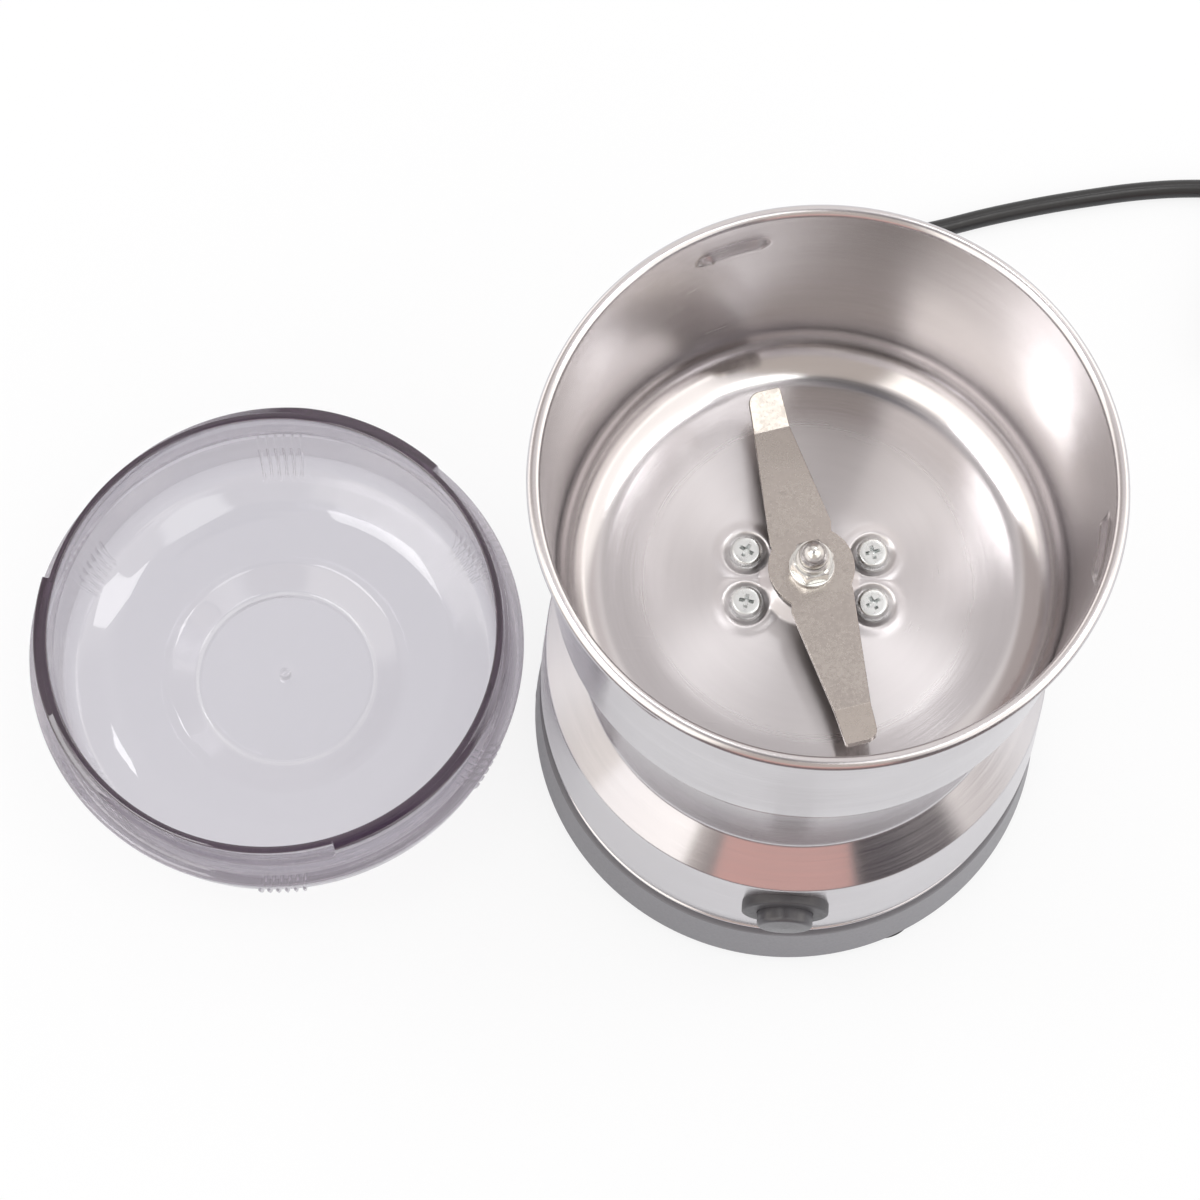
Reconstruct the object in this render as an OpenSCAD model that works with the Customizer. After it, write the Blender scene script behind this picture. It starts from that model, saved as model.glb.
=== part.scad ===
/* [Overall] */
// Height of the rubber feet under the base
foot_h = 2; // [1.5:0.5:4]
// Thickness of the pressed steel sheet
sheet_t = 0.8; // [0.6:0.1:1]
// Gap round a fixed piece that is seated in another
seat_gap = 0.1; // [0.05:0.05:0.2]
// Radial gap of the turning shaft in its bearings
running_gap = 0.03; // [0.02:0.01:0.06]
// Turn of the bowl and the motor about the upright axis, in degrees
bowl_turn = 2; // [-10:1:10]

/* [Body shell] */
// How much wider the drum is at its foot than the bowl is inside
drum_step = 1.9; // [0:0.1:6]
// How much narrower the drum is at its crease
drum_taper = 1.4; // [0.5:0.1:3]
// Height of the drum from the base ring to the crease
drum_h = 30.7; // [29:0.1:38]
// Height of the shoulder from the crease to the neck
shoulder_h = 7.9; // [6:0.1:12]
// Outside radius of the neck under the bowl
neck_r = 42; // [40:0.5:45]
// Height of the neck from the shoulder to the deck
neck_h = 32.2; // [31:0.1:40]
// How far the spigot that enters the base ring is set in from the drum
spigot_step = 1; // [0.9:0.1:1.5]
// Radius of the bead rolled round the foot of the drum
foot_bead_r = 0.7; // [0.4:0.1:0.9]

/* [Base] */
// Height of the base ring
base_h = 15.3; // [15:0.1:20]
// Wall of the base ring at its top edge
ring_lip_t = 1.1; // [0.8:0.1:2]
// How much wider the base ring is at its foot
ring_flare = 1.2; // [0.5:0.1:2.5]
// Depth to which the shell enters the base ring
spigot_h = 3.1; // [2.5:0.1:3.5]
// Thickness of the shelf that carries the shell
shelf_t = 1.6; // [1.2:0.1:2]
// Thickness of the bottom cover
cover_t = 2.4; // [2:0.1:3]
// Number of feet round the base, and of cover screws and ring screws
foot_count = 3; // [3:1:4]
// Direction of the first foot, in degrees
foot_turn = -62; // [-70:1:-50]
// Radius of one foot
foot_r = 7.5; // [6:0.5:8]
// Distance from the edge of the bottom cover to the middle of a foot
foot_inset = 5.1; // [5:0.1:8]

/* [Grinding bowl] */
// Inside radius of the bowl at its rim
bowl_r = 48.6; // [47:0.1:52]
// Depth of the bowl from the rim to its floor
bowl_depth = 53; // [45:0.5:62]
// Lean of the bowl's wall from upright, in degrees
bowl_lean = 2.8; // [1:0.1:4]
// Inside radius of the bowl's lower corner
bowl_corner_r = 9; // [7:0.5:12]
// Radius of the rolled bead at the rim
rim_bead_r = 1.2; // [1:0.1:1.5]
// How far each lid catch ridge stands into the bowl
ridge_depth = 1.25; // [0.8:0.05:1.6]
// Height of each lid catch ridge
ridge_h = 4; // [3:0.5:5]
// Sweep of each lid catch ridge, in degrees
ridge_sweep = 10.5; // [6:0.5:16]
// Distance from the top of the rim down to the middle of a ridge
ridge_drop = 8.5; // [7:0.5:10]

/* [Blade] */
// Distance from the axis to the tip of the blade
blade_reach = 34.9; // [30:0.1:38]
// Thickness of the blade
blade_t = 1.2; // [0.8:0.1:1.6]
// Angle to which the tips are bent up, in degrees
tip_bend = 17; // [10:1:30]
// Height of the blade above the bowl's floor
blade_lift = 6; // [5:0.5:9]
// Turn of the blade from the Y axis as it stands at rest, in degrees
blade_rest = 17; // [0:1:90]

/* [Lid] */
// Overall height of the lid
lid_h = 34; // [30:0.5:40]
// Height of the skirt that enters the bowl
skirt_h = 11.1; // [10.5:0.1:12]
// Gap between the skirt and the wall of the bowl
skirt_gap = 0.4; // [0.3:0.1:0.8]
// Thickness of the skirt
skirt_t = 3.2; // [2.8:0.1:3.6]
// How far the flange of the lid stays inside the rim of the bowl
flange_inset = 0.55; // [0:0.05:1]
// Sweep of each bayonet ramp, in degrees
ramp_sweep = 84; // [60:1:90]
// Depth of each bayonet ramp at its end
ramp_depth = 6; // [5:0.5:8]
// Number of grip ribs in each group
ribs_in_group = 6; // [4:1:8]
// Gap between the lid on the table and the base
lid_aside = 2.3; // [1:0.1:10]
// Place of the lid on the table along Y
lid_y = 3.2; // [-10:0.1:10]

/* [Button] */
// Height of the button's axis above the table
button_z = 37.5; // [33:0.5:41]
// Radius of the button cap
cap_r = 5.4; // [4.5:0.1:6]
// How far the cap stands out of its bezel
cap_proud = 3.1; // [2.6:0.1:4]
// Travel of the button
button_travel = 2.2; // [1.5:0.1:2.4]
// Width of the bezel across its flats
bezel_w = 16.7; // [16.4:0.1:17]
// Radius of the bezel's flange
bezel_r = 8.5; // [8.4:0.1:9]
// Thickness of the bezel's flange
bezel_t = 1.3; // [1:0.1:2]

/* [Motor] */
// Width of the stator core
stator_w = 58; // [54:1:62]
// Depth of the stator core
stator_d = 50; // [48:1:54]
// Height of the stator core
stator_h = 24; // [20:1:26]
// Radius of the armature
armature_r = 16.9; // [14:0.1:17]
// Gap between the armature and the stator
air_gap = 0.6; // [0.4:0.1:1]
// Radius of the motor shaft
shaft_r = 2.5; // [2:0.1:3]
// Radius of the threaded end of the shaft
thread_r = 2; // [1.5:0.1:2]
// Outside radius of the shaft bearings
bearing_r = 6; // [5.5:0.1:6.5]
// Height of the shaft bearings
bearing_h = 8; // [6:0.5:8]
// Radius of the commutator
commutator_r = 9; // [8:0.1:10]
// Radius of the cooling fan
fan_r = 26; // [20:0.5:26]
// Number of fan blades
fan_blades = 12; // [8:1:16]

/* [Mains cord] */
// Diameter of the cord
cord_d = 4; // [3.5:0.1:5]
// Height of the cord outlet above the table
outlet_z = 8.6; // [8.4:0.1:9]
// Length of the strain relief outside the base
relief_l = 21.6; // [20:0.1:26]
// Length of a plug pin
pin_l = 19; // [18:0.5:20]
// Radius of a plug pin
pin_r = 2; // [1.9:0.1:2.4]
// Distance between the plug pins
pin_pitch = 18.6; // [17:0.1:19]

/* [Hidden] */
$fn = 64;

steel = "silver";
dark_plastic = "dimgray";
rubber = "#222222";
copper = "#b87333";
brass = "#b5a642";
smoke = "#8a7f95";
cord_black = "#1c1c1c";
cut = 1; // how far a cutting shape runs past the face that it cuts
arc_step = 9; // degrees from one point of an arc to the next, and three times that on the smallest

// Levels, from the table up
ring_top_z = foot_h + base_h;
shell_z = ring_top_z + seat_gap;
crease_z = shell_z + drum_h;
neck_z = crease_z + shoulder_h;
deck_z = neck_z + neck_h;
floor_z = deck_z + sheet_t;
rim_z = floor_z + bowl_depth;
cover_top_z = foot_h + cover_t;
shelf_z = ring_top_z - spigot_h;

// Radii of the housing
drum_r = bowl_r + drum_step;
spigot_r = drum_r - spigot_step;
crease_r = drum_r - drum_taper;
seat_r = spigot_r + seat_gap;
ring_top_r = seat_r + ring_lip_t;
base_r = ring_top_r + ring_flare;
ring_inside_r = seat_r - 0.6;
shelf_inside_r = seat_r - 6.1;
flange_inside_r = spigot_r - 4;
cover_r = seat_r;
foot_place_r = cover_r - foot_inset;
drum_lean = drum_taper / (crease_z - shell_z - 2 * foot_bead_r);

// Bowl
bead_bite = 0.05; // how far the bead laps the edge of the wall
bead_place = [bowl_r + rim_bead_r - bead_bite, rim_z - rim_bead_r];
rim_r = bead_place.x + rim_bead_r;
ridge_z = rim_z - ridge_drop;
ridge_wall_r = bowl_r - (bead_place.y - ridge_z) * tan(bowl_lean);
ridge_bulge_r = (pow(ridge_h / 2, 2) + pow(ridge_depth, 2)) / (2 * ridge_depth);
ridge_turn = 109; // direction of the first ridge before the bowl is turned
ridge_count = 3;
ball_inset = 0.05; // how much smaller the ball ends of a ridge are than the ridge
hub_rise = 1.2; // height of the raised ring round the shaft
hub_r = 9.2;
hub_hole_r = 5;
dish_r = 4.4; // pressed dish round each bowl screw
dish_depth = 0.5;
screw_place = [11.6, 4.9];
screw_r = 1.5;
screw_head_r = 2.95;
screw_head_h = 2.2;
deck_hole_r = norm(screw_place) + dish_r + 0.5; // clears the dishes under the bowl

// Motor, hung under the deck
bracket_t = 3;
bracket_z = deck_z - sheet_t - bracket_t;
bracket_r = 34;
boss_r = 4.5;
column_place = [23.5, 19.5];
column_r = 3.5;
bolt_r = 1.5;
bolt_hole_r = 1.65;
stator_top_z = bracket_z - 20.4;
stator_z = stator_top_z - stator_h;
stator_bore_r = armature_r + air_gap;
end_bracket_t = 3;
end_bracket_z = stator_z - 22;
bearing_boss_r = bearing_r + 3;
upper_bearing_z = bracket_z - 9.4;
lower_bearing_z = end_bracket_z - 1;
shaft_z = lower_bearing_z;
blade_z = floor_z + blade_lift;
commutator_z = stator_z - 13.5;
commutator_h = 7.5;
coil_end_h = 5.4; // how far the windings stand out of the cores
fan_z = stator_top_z + 6.2;
fan_plate_t = 1.2;
fan_h = 6.8;
holder_z = commutator_z + 0.5;
holder_h = 7;
brush_gap = 0.2;
holder_in_r = commutator_r + 0.5;
holder_out_r = 24;

// Button and switch, on the front of the drum
function drum_r_at(z) = drum_r - (z - shell_z - 2 * foot_bead_r) * drum_lean;
button_face_y = -drum_r_at(button_z) - bezel_t;
cap_face_y = button_face_y - cap_proud;
tube_r = 6.9;
cap_flange_r = 6;
cap_flange_t = 1.4;
cap_flange_y = cap_face_y + 7;
tube_end_y = cap_flange_y + cap_flange_t + button_travel + 2.4;
switch_l = 10;
switch_size = [16, switch_l, 15];

// Lid, upside down on the table
skirt_r = bowl_r - skirt_gap;
skirt_inside_r = skirt_r - skirt_t;
thin_wall_r = ridge_wall_r - ridge_depth - 0.4;
lid_flange_r = rim_r - flange_inset;
band_r = lid_flange_r - 0.7;
ledge_z = lid_h - skirt_h;
lid_x = -(base_r + lid_aside + lid_flange_r);
ramp_count = 3;
ramp_turn = 82; // direction in which the first ramp starts
rib_groups = 6;
rib_turn = 35;
rib_pitch = 2.6;
rib_size = [0.8, 1.3];

// Mains cord: points along its middle, chosen by hand
cord_r = cord_d / 2;
relief_tip_y = base_r + relief_l;
cord_route = [
    [0, relief_tip_y, outlet_z], [0, 79, 8.4], [0.6, 85, 6.6], [2.4, 91, 4.2], [5.6, 97, 2.6],
    [10.4, 102.6, 2], [16.6, 107.4, 2], [24, 110.8, 2], [32, 113.3, 2], [39.5, 115.8, 2],
    [47, 118, 2], [55.4, 120.2, 2], [63.8, 122.1, 2], [72.2, 123.8, 2], [80.6, 125, 2],
    [88, 125.4, 2.3], [96, 125.4, 2.7], [103.5, 125.4, 2.9],
];
tie_t = 0.7;
coil_place = [121.5, 96.8];
coil_out_r = 28.6; // middle of the outermost turn
coil_in_r = 16; // middle of the innermost turn
coil_slack = 0.1; // how loosely the turns fill the coil's outer shape
coil_low_z = tie_t + seat_gap + coil_slack + cord_r;
coil_high_z = coil_low_z + cord_d;
entry_stub_l = 18; // straight stretch that runs into the coil
exit_turn = -20; // direction in which the cord leaves the coil
exit_stub_l = 16;
tie_turn = 190;
tie_sweep = 18;
lead_l = 4;
plug_face = [35, 13.7];
plug_l = 34;
plug_relief_l = 14;
plug_turn = exit_turn - 90; // direction in which the plug points

// ---------------------------------------------------------------- helpers

function unit(v) = v / norm(v);
function xy(p) = [p.x, p.y];

// Normal to the left of the line from a to b
function left_of(a, b) = let (d = unit(b - a)) [-d.y, d.x];

// Turn of a path of [x, y, radius] at point i: 1 to the left, -1 to the right
function bend(path, i) =
    let (d = xy(path[i]) - xy(path[i - 1]), e = xy(path[i + 1]) - xy(path[i]))
    sign(d.x * e.y - d.y * e.x);

// Point i of the path, moved by t to the left of it
function moved(path, i, t) =
    let (last = len(path) - 1,
         before = i == 0 ? undef : left_of(xy(path[i - 1]), xy(path[i])),
         after = i == last ? undef : left_of(xy(path[i]), xy(path[i + 1])))
    i == 0 ? xy(path[i]) + t * after
    : i == last ? xy(path[i]) + t * before
    : xy(path[i]) + t * (before + after) / (1 + before * after);

function moved_radius(path, i, t) =
    (i == 0 || i == len(path) - 1 || path[i][2] == 0) ? 0 : max(0.05, path[i][2] - t * bend(path, i));

// Closed outline of a sheet of thickness t that lies to the left of the path
function sheet(path, t) = concat(path, [
    for (i = [len(path) - 1:-1:0])
        let (p = moved(path, i, t)) [p.x, p.y, moved_radius(path, i, t)]
]);

// Arc that rounds the corner b between a and c
function corner(a, b, c, r) =
    let (u = unit(a - b), v = unit(c - b), half = acos(u * v) / 2,
         middle = b + unit(u + v) * r / sin(half),
         p = b + u * r / tan(half) - middle, q = b + v * r / tan(half) - middle,
         start = atan2(p.y, p.x), sweep = (atan2(q.y, q.x) - start + 540) % 360 - 180,
         n = ceil(abs(sweep) / (r < 0.6 ? 3 * arc_step : arc_step)))
    [for (i = [0:n]) middle + r * [cos(start + sweep * i / n), sin(start + sweep * i / n)]];

// Closed outline of [x, y, radius] points with its corners rounded
function rounded(outline) =
    let (n = len(outline))
    [for (i = [0:n - 1])
        let (p = outline[i])
        each (p[2] == 0 || is_undef(p[2])) ? [xy(p)]
            : corner(xy(outline[(i + n - 1) % n]), xy(p), xy(outline[(i + 1) % n]), p[2])];

module spun(outline) {
    rotate_extrude($fn = 128) polygon(rounded(outline));
}

// Copies at equal steps all the way round
module around(count, turn = 0) {
    for (i = [0:count - 1]) rotate(turn + 360 * i / count) children();
}

// Copies at the four corners of a rectangle
module at_corners(place) {
    for (x = [-place.x, place.x], y = [-place.y, place.y]) translate([x, y, 0]) children();
}

module ring(outer_r, inner_r, h) {
    difference() {
        cylinder(r = outer_r, h = h);
        translate([0, 0, -cut]) cylinder(r = inner_r, h = h + 2 * cut);
    }
}

// Part of a ring between two directions
module sector(outer_r, inner_r, from, to, h) {
    rotate(from) rotate_extrude(angle = to - from)
        translate([inner_r, 0]) square([outer_r - inner_r, h]);
}

// Turns what points up the Z axis to point out of the front of the drum
module out_of_front(y) {
    translate([0, y, button_z]) rotate([90, 0, 0]) children();
}

function direction(p, i) = unit(p[min(i + 1, len(p) - 1)] - p[max(i - 1, 0)]);

function tube_ring(p, i, r, sides) =
    let (t = direction(p, i), s = unit(cross(t, [0, 0, 1])), u = cross(s, t))
    [for (k = [0:sides - 1]) p[i] + r * (cos(360 * k / sides) * s + sin(360 * k / sides) * u)];

// Round tube along a list of points
module tube(p, r, sides = 10) {
    last = len(p) - 1;
    polyhedron(
        points = [for (i = [0:last]) each tube_ring(p, i, r, sides)],
        faces = concat(
            [[for (k = [sides - 1:-1:0]) k]],
            [for (i = [0:last - 1], k = [0:sides - 1])
                let (m = (k + 1) % sides)
                [i * sides + k, i * sides + m, (i + 1) * sides + m, (i + 1) * sides + k]],
            [[for (k = [0:sides - 1]) last * sides + k]]));
}

// ---------------------------------------------------------------- bowl and housing

bowl_foot_r = bowl_r - (bead_place.y - floor_z) * tan(bowl_lean);
bowl_path = [
    [bowl_r, bead_place.y, 0], [bowl_foot_r, floor_z, bowl_corner_r],
    [hub_r, floor_z, 1.5], [hub_r - 2.3, floor_z + hub_rise, 1], [hub_hole_r, floor_z + hub_rise, 0],
];

// Round bar along the wall with ball ends, as far out as a radius
module ridge(r, out_r) {
    place = [ridge_wall_r + ridge_bulge_r - ridge_depth, ridge_z];
    rotate(-ridge_sweep / 2) {
        rotate_extrude(angle = ridge_sweep) intersection() {
            translate(place) circle(r, $fn = 32);
            translate([0, place.y - r]) square([out_r, 2 * r]);
        }
        for (a = [0, ridge_sweep]) rotate(a) intersection() {
            translate([place.x, 0, place.y]) sphere(r - ball_inset, $fn = 32);
            translate([0, -r, place.y - r]) cube([out_r - ball_inset, 2 * r, 2 * r]);
        }
    }
}

module at_screws() {
    rotate(bowl_turn) at_corners(screw_place) children();
}

module grinding_bowl() color(steel) {
    ridge_at = ridge_turn + bowl_turn;
    difference() {
        union() {
            spun(sheet(bowl_path, sheet_t));
            rotate_extrude($fn = 128) translate(bead_place) circle(rim_bead_r, $fn = 32);
            around(ridge_count, ridge_at) ridge(ridge_bulge_r, ridge_wall_r + sheet_t / 2);
            at_screws() translate([0, 0, deck_z - dish_depth]) cylinder(r = dish_r, h = dish_depth + sheet_t / 2);
        }
        around(ridge_count, ridge_at) ridge(ridge_bulge_r - sheet_t, ridge_wall_r + 2 * sheet_t);
        at_screws() {
            translate([0, 0, floor_z - dish_depth]) cylinder(r = dish_r - sheet_t / 2, h = dish_depth + cut);
            translate([0, 0, deck_z - dish_depth - cut]) cylinder(r = screw_r + seat_gap, h = dish_depth + sheet_t + 2 * cut);
        }
    }
}

shell_path = [
    [flange_inside_r, shelf_z, 0], [spigot_r, shelf_z, 1],
    [spigot_r, shell_z + foot_bead_r * 0.6, 0.3], [drum_r, shell_z + foot_bead_r * 1.6, 0.3],
    [crease_r, crease_z, 1.2], [neck_r, neck_z, 1.5],
    [neck_r, deck_z, 2], [deck_hole_r, deck_z, 0],
];

module body_shell() color(steel) {
    difference() {
        union() {
            spun(sheet(shell_path, sheet_t));
            rotate_extrude($fn = 128)
                translate([drum_r - foot_bead_r / 3, shell_z + foot_bead_r]) circle(foot_bead_r, $fn = 32);
        }
        out_of_front(0) cylinder(r = tube_r + seat_gap, h = drum_r + cut);
        around(foot_count, ring_screw_turn) translate([ring_screw_place_r, 0, shelf_z - cut])
            cylinder(r = screw_r - 0.1, h = sheet_t + 2 * cut);
    }
}

// ---------------------------------------------------------------- base

boss_turn = foot_turn + 180 / foot_count; // the cover screws stand between the feet
ring_screw_turn = boss_turn + 32;
boss_place_r = foot_place_r + 0.3;
ring_screw_place_r = shelf_inside_r + 2.6;
ring_profile = [
    [cover_r + seat_gap, foot_h, 0], [base_r - 0.6, foot_h, 0.3], [base_r, foot_h + 0.8, 0.3],
    [ring_top_r, ring_top_z, 0.3], [seat_r, ring_top_z, 0], [seat_r, shelf_z, 0],
    [shelf_inside_r, shelf_z, 0], [shelf_inside_r, shelf_z - shelf_t, 0],
    [ring_inside_r, shelf_z - shelf_t, 0], [ring_inside_r, cover_top_z, 0],
    [cover_r + seat_gap, cover_top_z, 0],
];

module base_ring() color(dark_plastic) {
    boss_h = shelf_z - shelf_t - cover_top_z + shelf_t / 2;
    difference() {
        union() {
            spun(ring_profile);
            around(foot_count, boss_turn) translate([boss_place_r, 0, cover_top_z]) cylinder(r = 3.5, h = boss_h);
        }
        around(foot_count, boss_turn) translate([boss_place_r, 0, cover_top_z - cut])
            cylinder(r = screw_r - 0.2, h = boss_h + cut - 1);
        around(foot_count, ring_screw_turn) translate([ring_screw_place_r, 0, shelf_z - shelf_t - cut])
            cylinder(r = screw_r - 0.1, h = shelf_t + 2 * cut);
        translate([0, ring_inside_r - cut, outlet_z]) rotate([-90, 0, 0])
            cylinder(r = gland_neck_r + seat_gap, h = base_r - ring_inside_r + 2 * cut);
    }
}

vent_w = 3;
vent_rows = [[12, 14, 25], [18, 30, foot_place_r - 4.5]]; // count, inner end and outer end of each ring of vents

module bottom_cover() color(dark_plastic) {
    difference() {
        translate([0, 0, foot_h]) cylinder(r = cover_r, h = cover_t, $fn = 128);
        around(foot_count, foot_turn) translate([foot_place_r, 0, foot_h - cut])
            cylinder(r = plug_hole_r, h = cover_t + 2 * cut);
        around(foot_count, boss_turn) translate([boss_place_r, 0, foot_h - cut]) {
            cylinder(r = screw_r - 0.1, h = cover_t + 2 * cut);
            cylinder(r = cover_head_r + seat_gap, h = cut + cover_head_h + 0.2);
        }
        translate([0, 0, foot_h - cut]) cylinder(r = plug_hole_r, h = cover_t + 2 * cut);
        for (row = vent_rows) around(row[0]) translate([row[1], -vent_w / 2, foot_h - cut])
            cube([row[2] - row[1], vent_w, cover_t + 2 * cut]);
    }
}

plug_hole_r = 3;
cover_head_r = 2.6;
cover_head_h = 1.2;
cover_screw_bite = 6;

// One foot, with a plug that snaps into the bottom cover
module foot() {
    spun([
        [0, 0, 0], [foot_r - 0.3, 0, 0.4], [foot_r, foot_h, 0], [plug_hole_r - seat_gap, foot_h, 0],
        [plug_hole_r - seat_gap, cover_top_z, 0], [plug_hole_r + 0.5, cover_top_z, 0],
        [plug_hole_r - 0.4, cover_top_z + 1.4, 0.3], [0, cover_top_z + 1.4, 0],
    ]);
}

module rubber_feet() color(rubber) {
    foot();
    around(foot_count, foot_turn) translate([foot_place_r, 0, 0]) foot();
}

module cover_screws() color(steel) {
    around(foot_count, boss_turn) translate([boss_place_r, 0, foot_h + 0.2]) {
        cylinder(r = cover_head_r, h = cover_head_h);
        cylinder(r = screw_r - 0.25, h = cover_t + cover_screw_bite);
    }
}

module ring_screws() color(steel) {
    head_h = 1.8;
    around(foot_count, ring_screw_turn)
        translate([ring_screw_place_r, 0, shelf_z - shelf_t - head_h]) {
            cylinder(r = 2.4, h = head_h);
            cylinder(r = screw_r - 0.2, h = head_h + shelf_t + sheet_t + 1.6);
        }
}

module bowl_screws() color(steel) {
    at_screws() translate([0, 0, floor_z - dish_depth]) {
        spun([
            [0, 0, 0], [screw_head_r, 0, 0], [screw_head_r, screw_head_h, 0.9], [0, screw_head_h, 0],
        ]);
        translate([0, 0, -8]) cylinder(r = screw_r, h = 8);
    }
}

// ---------------------------------------------------------------- motor, fixed pieces

module on_motor() {
    rotate(bowl_turn) children();
}

module motor_bracket() color("gainsboro") on_motor() {
    boss_top_z = deck_z - dish_depth;
    difference() {
        union() {
            translate([0, 0, bracket_z]) cylinder(r = bracket_r, h = bracket_t);
            at_corners(screw_place) translate([0, 0, bracket_z - 6.4])
                cylinder(r = boss_r, h = boss_top_z - bracket_z + 6.4);
            translate([0, 0, upper_bearing_z - 1]) cylinder(r = bearing_boss_r, h = bracket_z - upper_bearing_z + 1.5);
            at_corners(column_place) translate([0, 0, stator_top_z])
                cylinder(r = column_r, h = bracket_z - stator_top_z + 0.5);
        }
        translate([0, 0, upper_bearing_z]) cylinder(r = bearing_r + seat_gap, h = bracket_z - upper_bearing_z + bracket_t + cut);
        translate([0, 0, bracket_z + 0.6]) cylinder(r = seal_flange_r + 0.4, h = bracket_t + cut);
        translate([0, 0, upper_bearing_z - 1 - cut]) cylinder(r = shaft_r + 0.7, h = 1 + 2 * cut);
        at_corners(screw_place) translate([0, 0, boss_top_z - 7.6]) cylinder(r = screw_r + seat_gap, h = 7.6 + cut);
        at_corners(column_place) translate([0, 0, stator_top_z - cut]) cylinder(r = bolt_hole_r, h = 12 + cut);
    }
}

module bearing(z) {
    translate([0, 0, z]) ring(bearing_r, shaft_r + running_gap, bearing_h);
}

module upper_bearing() color(brass) bearing(upper_bearing_z);

module lower_bearing() color(brass) bearing(lower_bearing_z);

seal_flange_r = 7.5;
seal_neck_r = hub_hole_r - seat_gap;

module shaft_seal() color(rubber) {
    seal_bore_r = shaft_r + 2 * running_gap;
    spun([
        [seal_bore_r, bracket_z + 0.8, 0], [seal_flange_r, bracket_z + 0.8, 0],
        [seal_flange_r, deck_z - 0.2, 0], [seal_neck_r, deck_z - 0.2, 0],
        [seal_neck_r, floor_z + hub_rise + 0.8, 0.4], [seal_bore_r, floor_z + hub_rise + 0.8, 0],
    ]);
}

window_r = 24.5; // outer radius of the windows that the field coils pass through
window_half = 38; // half the sweep of a window, in degrees

module stator_plan() {
    round_r = 6;
    inner = [stator_w / 2 - round_r, stator_d / 2 - round_r];
    difference() {
        union() {
            square([stator_w, 2 * inner.y], center = true);
            square([2 * inner.x, stator_d], center = true);
            for (x = [-inner.x, inner.x], y = [-inner.y, inner.y]) translate([x, y]) circle(round_r);
        }
        circle(stator_bore_r);
        for (x = [-column_place.x, column_place.x], y = [-column_place.y, column_place.y])
            translate([x, y]) circle(bolt_hole_r);
    }
}

module stator_core() color("slategray") on_motor() {
    difference() {
        translate([0, 0, stator_z]) linear_extrude(stator_h) stator_plan();
        for (side = [0, 180]) rotate(side) translate([0, 0, stator_z - cut])
            sector(window_r, stator_bore_r - cut, -window_half, window_half, stator_h + 2 * cut);
    }
}

module field_coils() color(copper) on_motor() {
    leg = [stator_bore_r + 1.5, window_r - 0.7];
    from = 6;
    to = window_half - 2;
    for (side = [0, 180]) rotate(side) {
        for (start = [from, 180 - to]) translate([0, 0, stator_z])
            sector(leg[1], leg[0], start, start + to - from, stator_h);
        for (z = [stator_z - coil_end_h, stator_top_z]) translate([0, 0, z])
            sector(window_r + 1.5, leg[0], from, 180 - from, coil_end_h);
    }
}

module motor_end_bracket() color("gainsboro") on_motor() {
    arm_w = 7;
    post_r = 19;
    arm_turn = atan2(column_place.y, column_place.x);
    difference() {
        union() {
            translate([0, 0, end_bracket_z]) linear_extrude(end_bracket_t) {
                for (a = [arm_turn, 180 - arm_turn]) rotate(a) square([2 * norm(column_place), arm_w], center = true);
                square([2 * post_r + 4, arm_w], center = true);
            }
            translate([0, 0, lower_bearing_z - 1]) cylinder(r = bearing_boss_r, h = bearing_h + 1);
            at_corners(column_place) translate([0, 0, end_bracket_z]) cylinder(r = column_r + 0.5, h = stator_z - end_bracket_z);
            for (x = [-post_r, post_r]) translate([x, 0, end_bracket_z]) cylinder(r = 3, h = holder_z - end_bracket_z);
        }
        translate([0, 0, lower_bearing_z]) cylinder(r = bearing_r + seat_gap, h = bearing_h + cut);
        at_corners(column_place) translate([0, 0, end_bracket_z - cut]) cylinder(r = bolt_hole_r, h = stator_z - end_bracket_z + 2 * cut);
    }
}

module through_bolts() color(steel) on_motor() {
    head_h = 2.4;
    at_corners(column_place) translate([0, 0, end_bracket_z - head_h]) {
        cylinder(r = 2.7, h = head_h);
        cylinder(r = bolt_r, h = head_h + stator_top_z - end_bracket_z + 10);
    }
}

brush_size = [5, 4.8]; // width and height of a carbon brush
brush_l = 12;

module brush_holders() color(brass) on_motor() {
    for (side = [0, 180]) rotate(side) difference() {
        translate([holder_in_r, -brush_size.x / 2 - 1, holder_z]) cube([holder_out_r - holder_in_r, brush_size.x + 2, holder_h]);
        translate([holder_in_r - cut, -brush_size.x / 2 - seat_gap, holder_z + 1])
            cube([holder_out_r - holder_in_r + 2 * cut, brush_size.x + 2 * seat_gap, brush_size.y + 2 * seat_gap]);
    }
}

module carbon_brushes() color("black") on_motor() {
    for (side = [0, 180]) rotate(side)
        translate([commutator_r + brush_gap, -brush_size.x / 2, holder_z + 1 + seat_gap])
            cube([brush_l, brush_size.x, brush_size.y]);
}

// ---------------------------------------------------------------- rotor

bush_r = 4.5;
shaft_end_h = 7; // height of the threaded end above the blade's seat

module motor_shaft() color(steel) {
    translate([0, 0, shaft_z]) cylinder(r = shaft_r, h = blade_z - shaft_z);
    translate([0, 0, blade_z]) cylinder(r = thread_r, h = shaft_end_h);
}

slot_count = 12;

module armature_core() color("slategray") {
    core_h = stator_h - 2;
    translate([0, 0, stator_z + 1]) difference() {
        ring(armature_r, shaft_r + seat_gap, core_h);
        around(slot_count) translate([armature_r - 7, 0, -cut]) cylinder(r = 2, h = core_h + 2 * cut);
        around(slot_count) translate([armature_r - 7, -0.8, -cut]) cube([8, 1.6, core_h + 2 * cut]);
    }
}

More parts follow.
